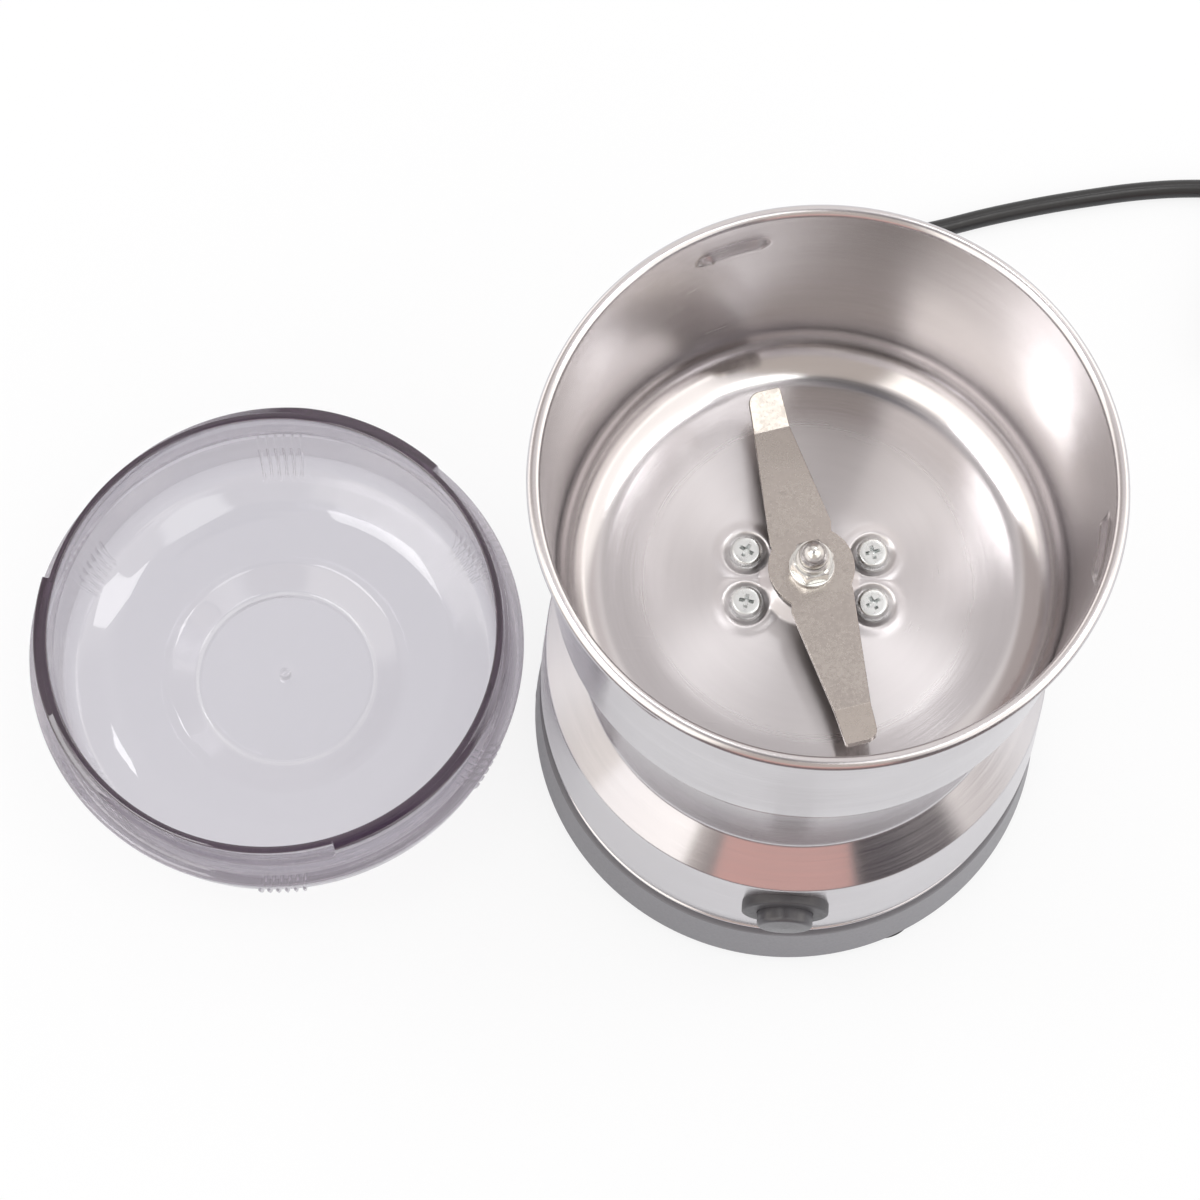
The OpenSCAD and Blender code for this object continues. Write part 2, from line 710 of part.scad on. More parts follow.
module armature_windings() color(copper) {
    winding_r = armature_r - 1.9;
    core_z = stator_z + 1;
    core_top_z = stator_top_z - 1;
    translate([0, 0, core_z - coil_end_h - 0.3]) ring(winding_r, shaft_r + 2, coil_end_h + 0.2);
    translate([0, 0, core_top_z + 0.1]) ring(winding_r, shaft_r + 2, coil_end_h);
    around(slot_count) translate([armature_r - 7, 0, core_z - 0.2])
        cylinder(r = 1.8, h = core_top_z - core_z + 0.4);
}

module commutator() color(copper) {
    bars = 24;
    translate([0, 0, commutator_z]) difference() {
        ring(commutator_r, shaft_r + seat_gap, commutator_h);
        around(bars) translate([commutator_r - 0.8, -0.25, 1]) cube([2, 0.5, commutator_h]);
    }
}

module cooling_fan() color("ivory") {
    hub_r = 5;
    blade_in_r = 12;
    translate([0, 0, fan_z]) difference() {
        union() {
            cylinder(r = hub_r, h = 3.3);
            cylinder(r = fan_r, h = fan_plate_t);
            around(fan_blades) translate([blade_in_r, 0, 0]) rotate(25) translate([0, -0.6, 0])
                intersection() {
                    cube([fan_r - blade_in_r, 1.2, fan_h]);
                    rotate(-25) translate([-blade_in_r, 0, 0]) cylinder(r = fan_r, h = fan_h);
                }
        }
        translate([0, 0, -cut]) cylinder(r = shaft_r + seat_gap, h = 3.3 + 2 * cut);
    }
}

module blade_bush() color(steel) {
    translate([0, 0, floor_z + hub_rise + 1.2]) ring(bush_r, shaft_r + seat_gap, blade_z - floor_z - hub_rise - 1.2);
}

blade_hub_r = 7.9;
bend_at = 27.4; // distance from the axis to the line where the tip bends up
root_w = [6.2, 5.8]; // the arm's reach to each side of its middle near the hub
bend_w = [3.5, 3.3]; // and at the bend
tip_w = [2.9, 3.2]; // and at the tip

module blade_arm() {
    tip_l = (blade_reach - bend_at) / cos(tip_bend);
    linear_extrude(blade_t) polygon([
        [-root_w[0], 0], [-root_w[0], 6], [-bend_w[0], bend_at], [bend_w[1], bend_at],
        [root_w[1], 7.6], [root_w[1], 0],
    ]);
    translate([0, bend_at, 0]) rotate([tip_bend, 0, 0]) linear_extrude(blade_t) polygon(rounded([
        [-bend_w[0], -0.2, 0], [bend_w[1], -0.2, 0], [tip_w[1], tip_l, 0.6], [-tip_w[0], tip_l, 2.2],
    ]));
}

module blade() color(steel) {
    translate([0, 0, blade_z]) difference() {
        union() {
            cylinder(r = blade_hub_r, h = blade_t);
            around(2, blade_rest) blade_arm();
        }
        translate([0, 0, -cut]) cylinder(r = thread_r + 0.05, h = blade_t + 2 * cut);
    }
}

washer_t = 0.7;

module blade_washer() color(steel) {
    translate([0, 0, blade_z + blade_t]) ring(4.2, thread_r + seat_gap, washer_t);
}

nut_across = 7;
nut_h = 3.5;
dome_r = 2.6;

module acorn_nut() color(steel) {
    translate([0, 0, blade_z + blade_t + washer_t]) difference() {
        union() {
            rotate(blade_rest) cylinder(d = nut_across / cos(30), h = nut_h, $fn = 6);
            translate([0, 0, nut_h]) cylinder(r = dome_r + 0.5, h = 0.8);
            translate([0, 0, nut_h + 0.8]) cylinder(r = dome_r, h = 1.4);
            translate([0, 0, nut_h + 2.2]) sphere(dome_r);
        }
        translate([0, 0, -cut]) cylinder(r = thread_r + 0.05, h = cut + shaft_end_h - blade_t - washer_t + 0.3);
    }
}

// ---------------------------------------------------------------- button and switch

module switch_bezel() color(dark_plastic) {
    flange_depth = bezel_t + 1.2; // far enough back to follow the curve of the drum
    difference() {
        union() {
            difference() {
                out_of_front(button_face_y + flange_depth) intersection() {
                    spun([[0, 0, 0], [bezel_r, 0, 0], [bezel_r, flange_depth, 0.5], [0, flange_depth, 0]]);
                    translate([-bezel_w / 2, -bezel_r, 0]) cube([bezel_w, 2 * bezel_r, flange_depth]);
                }
                translate([0, 0, button_z - 2 * bezel_r]) cylinder(
                    r1 = drum_r_at(button_z - 2 * bezel_r) + seat_gap / 2,
                    r2 = drum_r_at(button_z + 2 * bezel_r) + seat_gap / 2, h = 4 * bezel_r, $fn = 128);
            }
            out_of_front(tube_end_y) cylinder(r = tube_r, h = tube_end_y - button_face_y - 0.4);
        }
        out_of_front(tube_end_y + cut) cylinder(r = cap_r + seat_gap, h = tube_end_y - button_face_y + 2 * cut);
        out_of_front(tube_end_y + cut) cylinder(r = cap_flange_r + 0.2, h = tube_end_y + cut - cap_flange_y + seat_gap);
    }
}

module button_cap() color("darkgray") {
    out_of_front(cap_flange_y + cap_flange_t) {
        spun([
            [0, 0, 0], [cap_flange_r, 0, 0], [cap_flange_r, cap_flange_t, 0], [cap_r, cap_flange_t, 0],
            [cap_r, cap_flange_t + 6.6, 0.7], [0, cap_flange_t + 7, 0],
        ]);
        translate([0, 0, -stem_l]) cylinder(r = stem_r, h = stem_l);
    }
}

stem_r = 2;
stem_l = 3.6;

module switch_nut() color(steel) {
    nut_r = 9.2;
    inside_r = drum_r_at(button_z + nut_r) - sheet_t;
    nut_y = -sqrt(pow(inside_r, 2) - pow(nut_r, 2)) + seat_gap;
    difference() {
        out_of_front(nut_y + 3) cylinder(r = nut_r, h = 3, $fn = 6);
        out_of_front(nut_y + 3 + cut) cylinder(r = tube_r + seat_gap, h = 3 + 2 * cut);
    }
}

module switch_body() color("black") {
    difference() {
        union() {
            translate([-switch_size.x / 2, tube_end_y, button_z - switch_size.z / 2]) cube(switch_size);
            for (x = [-4, 4]) translate([x - 1.5, tube_end_y + switch_l / 2 - 0.4, button_z - switch_size.z / 2 - 6])
                cube([3, 0.8, 6.5]);
        }
        out_of_front(tube_end_y + button_travel + stem_l) cylinder(r = stem_r + 0.3, h = button_travel + stem_l + cut);
    }
}

// ---------------------------------------------------------------- wiring

wire_r = 1;
wire_x = 1.3; // the two wires leave the cord this far to each side of its middle
clamp_y = shelf_inside_r - 7.5;
terminal_z = button_z - switch_size.z / 2 - 6;
terminal_y = tube_end_y + switch_l / 2;
holder_end = holder_out_r + 1.4;
bracket_reach = norm(column_place) + column_r + 0.5; // outside of the end bracket's columns
lane_room = shelf_inside_r - bracket_reach - 2 * wire_r;
lane_share = 0.21; // how much of the free room lies between the bracket and the wires
lane_r = bracket_reach + wire_r + lane_share * lane_room;

function lane(turn, z) = [lane_r * cos(turn), lane_r * sin(turn), z];

// Smooth curve through a list of points
function through(p, steps = 4) = [
    for (i = [0:len(p) - 2], k = [0:steps - 1])
        let (t = k / steps, a = p[max(i - 1, 0)], b = p[i], c = p[i + 1], d = p[min(i + 2, len(p) - 1)])
        0.5 * (2 * b + (c - a) * t + (2 * a - 5 * b + 4 * c - d) * t * t + (3 * b - a - 3 * c + d) * t * t * t),
    p[len(p) - 1],
];

module lead_wires() color("firebrick") {
    tube(through([
        [wire_x, clamp_y - 0.3, outlet_z], [wire_x + 2, clamp_y - 4, outlet_z], [12, clamp_y - 8, outlet_z],
        lane(26, outlet_z), lane(-20, outlet_z + 2),
        lane(-60, outlet_z + 8), [5, terminal_y - 4, terminal_z - 5], [4, terminal_y, terminal_z - 0.4],
    ]), wire_r, 8);
    tube(through([
        [-wire_x, clamp_y - 0.3, outlet_z], [-wire_x - 2, clamp_y - 4, outlet_z], [-12, clamp_y - 8, outlet_z],
        lane(159, outlet_z + 2),
        [-holder_end - 5.6, 2, holder_z - 4], [-holder_end, 0, holder_z + holder_h / 2],
    ]), wire_r, 8);
    tube(through([
        [-4, terminal_y, terminal_z - 0.4], [-3, terminal_y + 3.5, terminal_z - 4], [9, terminal_y + 4, terminal_z - 3],
        lane(-50, terminal_z - 2), lane(-30, terminal_z - 2), lane(-12, holder_z - 4),
        [holder_end, 0, holder_z + holder_h / 2],
    ]), wire_r, 8);
}

gland_neck_r = 3.4;
gland_tail_r = cord_r + 0.4;
clamp_size = [16, 5, 9];

module cord_gland() color(rubber) {
    inner_flange_t = 1.6;
    translate([0, clamp_y, outlet_z]) rotate([-90, 0, 0]) {
        wall = ring_inside_r - clamp_y;
        outside = base_r + 0.1 - clamp_y;
        tip = relief_tip_y - clamp_y;
        spun([
            [0, 0, 0], [gland_tail_r, 0, 0], [gland_tail_r, wall - 0.2 - inner_flange_t, 0],
            [gland_neck_r + 0.5, wall - 0.2 - inner_flange_t, 0], [gland_neck_r + 0.5, wall - 0.2, 0],
            [gland_neck_r, wall - 0.2, 0], [gland_neck_r, outside, 0], [4.6, outside, 0], [4.6, outside + 2.6, 0.5],
            [4, outside + 3.4, 0.5], [cord_r + 0.9, tip, 0.4], [0, tip, 0],
        ]);
    }
}

module cord_clamp() color(dark_plastic) {
    difference() {
        translate([-clamp_size.x / 2, clamp_y, cover_top_z]) cube(clamp_size);
        translate([0, clamp_y - cut, outlet_z]) rotate([-90, 0, 0])
            cylinder(r = gland_tail_r + seat_gap, h = clamp_size.y + 2 * cut);
        for (x = [-5.6, 5.6]) translate([x, clamp_y + clamp_size.y / 2, cover_top_z - cut])
            cylinder(r = screw_r - 0.2, h = clamp_size.z + 2 * cut);
    }
}

module clamp_screws() color(steel) {
    for (x = [-5.6, 5.6]) translate([x, clamp_y + clamp_size.y / 2, cover_top_z + 1]) {
        cylinder(r = screw_r - 0.3, h = clamp_size.z);
        translate([0, 0, clamp_size.z - 1]) cylinder(r = 2.3, h = 1.6);
    }
}

// ---------------------------------------------------------------- mains cord

module cord_tube() color(cord_black) tube(cord_route, cord_r);

bundle_r = cord_r + coil_slack;
bundle_low = [coil_in_r - bundle_r, coil_low_z - bundle_r];
bundle_high = [coil_out_r + bundle_r, coil_high_z + bundle_r];
coil_profile = [
    [bundle_low.x, bundle_low.y, cord_r], [bundle_high.x, bundle_low.y, cord_r],
    [bundle_high.x, bundle_high.y, cord_r], [bundle_low.x, bundle_high.y, cord_r],
];

module at_coil() {
    translate([coil_place.x, coil_place.y, 0]) children();
}

// Stands at the outermost turn in a direction, with X along the cord as it runs clockwise
module at_turn(turn, z) {
    rotate(turn) translate([0, 0, z]) translate([coil_out_r, 0, 0]) rotate([0, 0, -90]) children();
}

module cord_coil() color(cord_black) at_coil() {
    spun(coil_profile);
    at_turn(90, coil_low_z) translate([-entry_stub_l, 0, 0]) rotate([0, 90, 0]) cylinder(r = cord_r, h = entry_stub_l);
    at_turn(exit_turn, coil_high_z) rotate([0, 90, 0]) cylinder(r = cord_r, h = exit_stub_l);
}

module cord_tie() color(rubber) at_coil() {
    inner = seat_gap;
    outer = seat_gap + tie_t;
    size = bundle_high - bundle_low;
    rotate(tie_turn) rotate_extrude(angle = tie_sweep) difference() {
        translate(bundle_low - [outer, outer]) square(size + 2 * [outer, outer]);
        translate(bundle_low - [inner, inner]) square(size + 2 * [inner, inner]);
    }
}

module on_plug() {
    at_coil() at_turn(exit_turn, coil_high_z) translate([exit_stub_l + lead_l, 0, 0]) children();
}

module cord_lead() color(cord_black) on_plug() {
    translate([-lead_l, 0, 0]) rotate([0, 90, 0]) cylinder(r = cord_r, h = lead_l);
}

// The plug lies on its flat side: X runs from the cord to the pins
module plug_body() color(cord_black) on_plug() {
    tail = plug_relief_l;
    face = plug_relief_l + plug_l;
    half = [plug_face.x / 2, plug_face.y / 2];
    intersection() {
        translate([0, 0, -half.y]) linear_extrude(plug_face.y) polygon(rounded([
            [0, -cord_r - 0.7, 0], [tail, -4.6, 8], [tail + 10, -half.x + 5, 9], [face - 6, -half.x, 4], [face, -half.x, 2],
            [face, half.x, 2], [face - 6, half.x, 4], [tail + 10, half.x - 5, 9], [tail, 4.6, 8], [0, cord_r + 0.7, 0],
        ]));
        translate([0, half.x + cut, 0]) rotate([90, 0, 0]) linear_extrude(plug_face.x + 2 * cut) polygon(rounded([
            [-cut, -cord_r - 0.7, 0], [0, -cord_r - 0.7, 0], [tail, -4.4, 6], [tail + 8, -half.y, 5], [face, -half.y, 1.2],
            [face, half.y, 1.2], [tail + 8, half.y, 5], [tail, 4.4, 6], [0, cord_r + 0.7, 0], [-cut, cord_r + 0.7, 0],
        ]));
    }
}

module plug_pins() color(brass) on_plug() {
    for (y = [-pin_pitch / 2, pin_pitch / 2]) translate([plug_relief_l + plug_l, y, 0]) rotate([0, 90, 0]) {
        cylinder(r = pin_r, h = pin_l - pin_r / 2);
        translate([0, 0, pin_l - pin_r / 2]) cylinder(r1 = pin_r, r2 = pin_r / 2, h = pin_r / 2);
    }
}

// ---------------------------------------------------------------- lid

lid_profile = [
    [0, 2.2, 0], [18.5, 2.2, 3], [24, 4.6, 4], [36, 5.4, 20], [skirt_inside_r - 1.1, 8.2, 0.3],
    [skirt_inside_r, ledge_z - 0.4, 2], [skirt_inside_r, lid_h, 0.5], [skirt_r, lid_h, 0.5],
    [skirt_r, ledge_z, 0.3], [lid_flange_r, ledge_z, 0.6], [lid_flange_r, ledge_z - 1.8, 0.5],
    [band_r, ledge_z - 2.6, 0.4], [band_r, 9, 4], [skirt_inside_r, 5.2, 8], [36, 3.2, 16],
    [26, 2.4, 4], [19.5, 0, 2], [0, 0, 0],
];

// Wedge that cuts one bayonet ramp: it starts at the rim and deepens as it goes round
module ramp_cut() {
    steps = 12;
    out_r = skirt_r + 1;
    lead_in = 0.2; // height above the rim at which the wedge starts
    points = [for (i = [0:steps])
        let (a = ramp_sweep * i / steps, high = lid_h + cut,
             low = lid_h + lead_in - (ramp_depth + lead_in) * i / steps)
        each [for (q = [[thin_wall_r, low], [out_r, low], [out_r, high], [thin_wall_r, high]])
            [q.x * cos(a), q.x * sin(a), q.y]]];
    polyhedron(
        points = points,
        faces = concat(
            [[3, 2, 1, 0]],
            [for (i = [0:steps - 1], k = [0:3])
                let (m = (k + 1) % 4) [4 * i + k, 4 * i + m, 4 * i + 4 + m, 4 * i + 4 + k]],
            [[for (k = [0:3]) 4 * steps + k]]));
}

module lid() color(smoke, 0.6) translate([lid_x, lid_y, 0]) {
    gate_r = 1.4;
    rib_z = 11.2;
    rib_top_z = ledge_z - 3.1;
    difference() {
        union() {
            spun(lid_profile);
            cylinder(r = gate_r, h = 2.8);
            around(rib_groups, rib_turn) for (i = [0:ribs_in_group - 1])
                rotate((i - (ribs_in_group - 1) / 2) * rib_pitch)
                    translate([band_r - 0.3, -rib_size.y / 2, rib_z]) cube([rib_size.x, rib_size.y, rib_top_z - rib_z]);
        }
        around(ramp_count, ramp_turn) ramp_cut();
    }
}

grinding_bowl();
body_shell();
base_ring();
bottom_cover();
rubber_feet();
cover_screws();
ring_screws();
bowl_screws();
motor_bracket();
upper_bearing();
shaft_seal();
stator_core();
field_coils();
motor_end_bracket();
lower_bearing();
through_bolts();
brush_holders();
carbon_brushes();
motor_shaft();
armature_core();
armature_windings();
commutator();
cooling_fan();
blade_bush();
blade();
blade_washer();
acorn_nut();
switch_bezel();
button_cap();
switch_nut();
switch_body();
lead_wires();
cord_clamp();
clamp_screws();
cord_gland();
cord_tube();
cord_coil();
cord_tie();
cord_lead();
plug_body();
plug_pins();
lid();
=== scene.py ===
import math

import bmesh
import bpy
from mathutils import Matrix, Vector


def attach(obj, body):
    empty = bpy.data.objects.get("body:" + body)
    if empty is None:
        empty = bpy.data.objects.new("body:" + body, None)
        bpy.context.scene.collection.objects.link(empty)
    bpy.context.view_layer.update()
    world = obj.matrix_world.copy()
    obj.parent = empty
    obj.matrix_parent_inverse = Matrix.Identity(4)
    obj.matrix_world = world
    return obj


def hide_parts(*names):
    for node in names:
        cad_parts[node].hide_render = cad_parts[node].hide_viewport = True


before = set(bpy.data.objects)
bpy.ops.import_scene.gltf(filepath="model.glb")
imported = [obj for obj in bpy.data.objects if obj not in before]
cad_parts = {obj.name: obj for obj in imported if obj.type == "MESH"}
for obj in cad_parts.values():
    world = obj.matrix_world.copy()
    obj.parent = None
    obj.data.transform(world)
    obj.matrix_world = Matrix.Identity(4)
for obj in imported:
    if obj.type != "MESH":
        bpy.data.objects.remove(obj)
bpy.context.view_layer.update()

MM = 0.001

# ------------------------------------------------------------------ sizes, in millimetres

SHEET = 0.8
TURN = 2.0  # turn of the bowl about the upright axis, in degrees

BOWL_R, FLOOR_Z, BEAD_R = 48.6, 89.0, 1.2
BEAD = (49.75, 140.8)
LEAN = math.radians(2.8)
HUB_R, HUB_RISE, HUB_HOLE = 9.2, 1.2, 5.0
RIDGE_Z, RIDGE_DEPTH, RIDGE_HALF = 133.5, 1.25, 4.4
RIDGES = (111.0, -9.0, -129.0)
SCREWS = ((11.6, 4.9), (-11.6, 4.9), (-11.6, -4.9), (11.6, -4.9))
DISH_R, DISH_DEPTH = 4.4, 0.5
SCREW_Z, SCREW_R, SCREW_H = 88.5, 2.95, 2.2
SCREW_TURNS = (17, 62, -8, 31)  # turn of each screw's cross, in degrees

SHELL_Z, CREASE_Z, NECK_Z, DECK_Z, SHELF_Z = 17.4, 48.1, 56.0, 88.2, 14.2
DRUM_R, CREASE_R, NECK_R, SPIGOT_R = 50.5, 49.1, 42.0, 49.5
FOOT_TURN_IN, FLANGE_HOLE_R, DECK_HOLE_R = 1.05, 45.5, 17.49
RING_TOP_Z, RING_TOP_R, BASE_R, SEAT_R = 17.3, 50.7, 51.9, 49.6
RECESS_R, RING_IN_R, SHELF_HOLE_R, FOOT_Z = 49.7, 49.0, 43.5, 2.0
FEET_R, FEET_AT = 44.5, (-62, 58, 178)

BLADE_Z, BLADE_T, BLADE_TURN = 95.0, 1.2, 17.0
BEND_AT, TIP_BEND, BLADE_REACH = 27.4, math.radians(17), 34.9
NUT_Z, NUT_ACROSS, NUT_H, DOME_R = 96.9, 7.0, 3.5, 2.6

WASHER_R, WASHER_HOLE_R, WASHER_Z = 4.2, 2.1, 96.2

BUTTON_Z, BUTTON_HOLE_R, CAP_R = 37.5, 7.0, 5.4
CAP_FACE, CAP_FLANGE = 54.0, 47.0  # distance of the cap's face and flange from the axis

LID_X, LID_Y, LID_H = -104.55, 3.2, 34.0
LEDGE_Z, SKIRT_R, SKIRT_IN_R, THIN_R, FLANGE_R = 22.9, 47.9, 45.0, 46.5, 50.4
RAMP_START, RAMP_SWEEP, RAMP_DEPTH = 85.5, 84.0, 6.0

CORD_R, CORD_Z = 2.0, 8.6
ROUTE = (
    (0, 73.5, 8.6), (0, 79, 8.4), (0.6, 85, 6.6), (2.4, 91, 4.2), (5.6, 97, 2.6), (10.4, 102.6, 2),
    (16.6, 107.4, 2), (24, 110.8, 2), (32, 113.3, 2), (39.5, 115.8, 2), (47, 118, 2), (55.4, 120.2, 2),
    (63.8, 122.1, 2), (72.2, 123.8, 2), (80.6, 125, 2), (88, 125.4, 2.3), (96, 125.4, 2.7),
    (103.5, 125.4, 2.9),
)
COIL = (121.5, 96.8)
COIL_OUT, COIL_IN, COIL_LOW_Z, COIL_HIGH_Z = 28.6, 16.0, 2.9, 6.9
COIL_TURNS, COIL_START, COIL_END = 6, 90.0, -20.0  # whole turns, and directions in degrees

# ------------------------------------------------------------------ camera

camera = bpy.data.objects.new("camera", bpy.data.cameras.new("camera"))
bpy.context.scene.collection.objects.link(camera)
bpy.context.scene.camera = camera
camera.data.sensor_width = 36
camera.data.lens = 98.395
camera.data.clip_start, camera.data.clip_end = 0.05, 20
PITCH, YAW, ROLL = 1.247334, -0.04825, 0.0027053
ahead = Vector((math.sin(YAW) * math.cos(PITCH), math.cos(YAW) * math.cos(PITCH), -math.sin(PITCH)))
side = Vector((math.cos(YAW), -math.sin(YAW), 0))
over = side.cross(ahead)
right = math.cos(ROLL) * side + math.sin(ROLL) * over
up = -math.sin(ROLL) * side + math.cos(ROLL) * over
turned = Matrix((right, up, -ahead)).transposed().to_4x4()
camera.matrix_world = Matrix.Translation(Vector((-0.028966, -0.196907, 0.659215))) @ turned

# ------------------------------------------------------------------ material nodes


class Nodes:
    """Builds the node tree of one material: each call adds a node, and sockets link to sockets."""

    def __init__(self, tree):
        self.tree = tree

    def add(self, kind, props=None, out=0, **inputs):
        made = self.tree.nodes.new("ShaderNode" + kind)
        for name, value in (props or {}).items():
            setattr(made, name, value)
        for name, value in inputs.items():
            socket = made.inputs[int(name[1:])] if name[1:].isdigit() else made.inputs[name.replace("_", " ")]
            if isinstance(value, bpy.types.NodeSocket):
                self.tree.links.new(value, socket)
            else:
                socket.default_value = value
        return made.outputs[out] if out is not None else made

    def math(self, operation, a, b=0.0):
        return self.add("Math", {"operation": operation}, i0=a, i1=b)

    def ramp(self, value, low, high, to_low=0.0, to_high=1.0, smooth=False):
        kind = "SMOOTHSTEP" if smooth else "LINEAR"
        return self.add("MapRange", {"interpolation_type": kind}, Value=value, From_Min=low, From_Max=high,
                        To_Min=to_low, To_Max=to_high)

    def mix(self, factor, a, b):
        return self.add("Mix", {"data_type": "RGBA"}, out=2, i0=factor, i6=a, i7=b)

    def noise(self, vector, scale, detail=3.0, roughness=0.55):
        return self.add("TexNoise", Vector=vector, Scale=scale, Detail=detail, Roughness=roughness)

    def vector(self, x, y, z):
        return self.add("CombineXYZ", X=x, Y=y, Z=z)


def rgb(r, g, b):
    return (r, g, b, 1.0)


def shade(colour, amount):
    """The colour darkened by an amount."""
    return rgb(*[c * amount for c in colour])


def material(name):
    made = bpy.data.materials.new(name)
    made.use_nodes = True
    made.node_tree.nodes.clear()
    return made, Nodes(made.node_tree)


def surface(nodes, shader, volume=None):
    out = nodes.tree.nodes.new("ShaderNodeOutputMaterial")
    nodes.tree.links.new(shader, out.inputs["Surface"])
    if volume is not None:
        nodes.tree.links.new(volume, out.inputs["Volume"])


def place(nodes):
    """Object coordinates: the vector and its X, Y and Z."""
    vector = nodes.add("TexCoord", out=3)
    x, y, z = nodes.add("SeparateXYZ", out=None, Vector=vector).outputs
    return vector, x, y, z


def from_axis(nodes, x, y):
    """Distance from the upright axis."""
    return nodes.math("SQRT", nodes.math("ADD", nodes.math("MULTIPLY", x, x), nodes.math("MULTIPLY", y, y)))


def worn(nodes, fine, cloud, roughness, fine_range, cloud_range):
    """Roughness that varies with a fine and a coarse noise, each by a range round its middle."""
    return nodes.math("ADD", nodes.ramp(fine, 0.3, 0.7, roughness + fine_range[0], roughness + fine_range[1]),
                      nodes.ramp(cloud, 0.3, 0.7, *cloud_range))


def spun_metal(name, colour, roughness, along, lines, anisotropy, patchy=0.03, scratches=0.0, zones=()):
    """Metal spun and brushed on a lathe. along is +1 where the wall widens upwards and -1 where it narrows.

    Each zone changes the roughness by an amount between two places along the section, in metres."""
    made, n = material(name)
    vector, x, y, z = place(n)
    radius = from_axis(n, x, y)
    safe = n.math("MAXIMUM", radius, 0.0005)
    run = n.math("ADD", radius, n.math("MULTIPLY", z, along))
    round_x, round_y = n.math("DIVIDE", x, safe), n.math("DIVIDE", y, safe)
    fine = n.noise(n.vector(round_x, round_y, n.math("MULTIPLY", run, 2600.0)), 1.6, 2.0, 0.6)
    coarse = n.noise(n.vector(round_x, round_y, n.math("MULTIPLY", run, 420.0)), 1.1, 3.0, 0.6)
    cloud = n.noise(vector, 38.0, 3.0, 0.5)
    base = n.mix(n.ramp(coarse, 0.35, 0.7, 0.0, 0.5), rgb(*colour), shade(colour, 0.93))
    base = n.mix(n.ramp(cloud, 0.35, 0.75, 0.0, 0.4), base, shade(colour, 0.95))
    rough = worn(n, fine, cloud, roughness, (-0.03, 0.03), (-patchy, patchy))
    for low, high, change in zones:
        rough = n.math("ADD", rough, n.ramp(run, low, high, 0.0, change, smooth=True))
    height = n.math("ADD", fine, n.math("MULTIPLY", coarse, 1.5))
    if scratches:
        across = n.add("VectorMath", {"operation": "MULTIPLY"}, i0=vector, i1=(170.0, 900.0, 300.0))
        scored = n.ramp(n.noise(across, 1.0, 2.0), 0.64, 0.72)
        height = n.math("ADD", height, n.math("MULTIPLY", scored, scratches))
    bump = n.add("Bump", Height=height, Strength=1.0, Distance=lines * 0.00001)
    tangent = n.add("Tangent", {"direction_type": "RADIAL", "axis": "Z"})
    surface(n, n.add("BsdfPrincipled", Base_Color=base, Metallic=1.0, Roughness=rough, Normal=bump,
                     Anisotropic=anisotropy, Anisotropic_Rotation=0.25, Tangent=tangent))
    return made


def plain_metal(name, colour, roughness, grain=700.0, depth=0.00002, spots=0.25, stretch=(1, 1, 1)):
    """Plated, cast or ground metal: fine grain, patches of tone and small dark specks."""
    made, n = material(name)
    vector = n.add("TexCoord", out=3)
    pulled = n.add("VectorMath", {"operation": "MULTIPLY"}, i0=vector, i1=stretch)
    fine = n.noise(pulled, grain, 3.0, 0.6)
    cloud = n.noise(vector, grain * 0.12, 3.0, 0.55)
    speck = n.noise(vector, grain * 0.55, 1.0, 0.4)
    base = n.mix(n.ramp(cloud, 0.35, 0.65, 0.0, 0.5), rgb(*colour), shade(colour, 0.86))
    base = n.mix(n.ramp(speck, 0.68, 0.76, 0.0, spots), base, shade(colour, 0.6))
    rough = worn(n, fine, cloud, roughness, (-0.04, 0.06), (-0.04, 0.05))
    bump = n.add("Bump", Height=fine, Strength=0.7, Distance=depth)
    surface(n, n.add("BsdfPrincipled", Base_Color=base, Metallic=1.0, Roughness=rough, Normal=bump))
    return made


def moulded(name, colour, roughness, grain=1600.0, coat=0.0, variation=0.12, scuff=0.25):
    """Moulded plastic or rubber: a fine spark-eroded grain, faint clouding and pale scuffs."""
    made, n = material(name)
    vector = n.add("TexCoord", out=3)
    fine = n.noise(vector, grain, 4.0, 0.65)
    cloud = n.noise(vector, 45.0, 4.0, 0.6)
    dust = n.noise(vector, grain * 0.6, 2.0, 0.5)
    lighter = [min(1.0, c * 1.35 + 0.03) for c in colour]
    base = n.mix(n.ramp(cloud, 0.3, 0.75, 0.0, variation), rgb(*colour), rgb(*lighter))
    base = n.mix(n.ramp(dust, 0.66, 0.8, 0.0, scuff), base, rgb(*lighter))
    rough = worn(n, fine, cloud, roughness, (-0.06, 0.06), (-0.03, 0.05))
    bump = n.add("Bump", Height=fine, Strength=0.6, Distance=0.00003)
    surface(n, n.add("BsdfPrincipled", Base_Color=base, Roughness=rough, Normal=bump, Coat_Weight=coat,
                     Coat_Roughness=0.15, IOR=1.49))
    return made


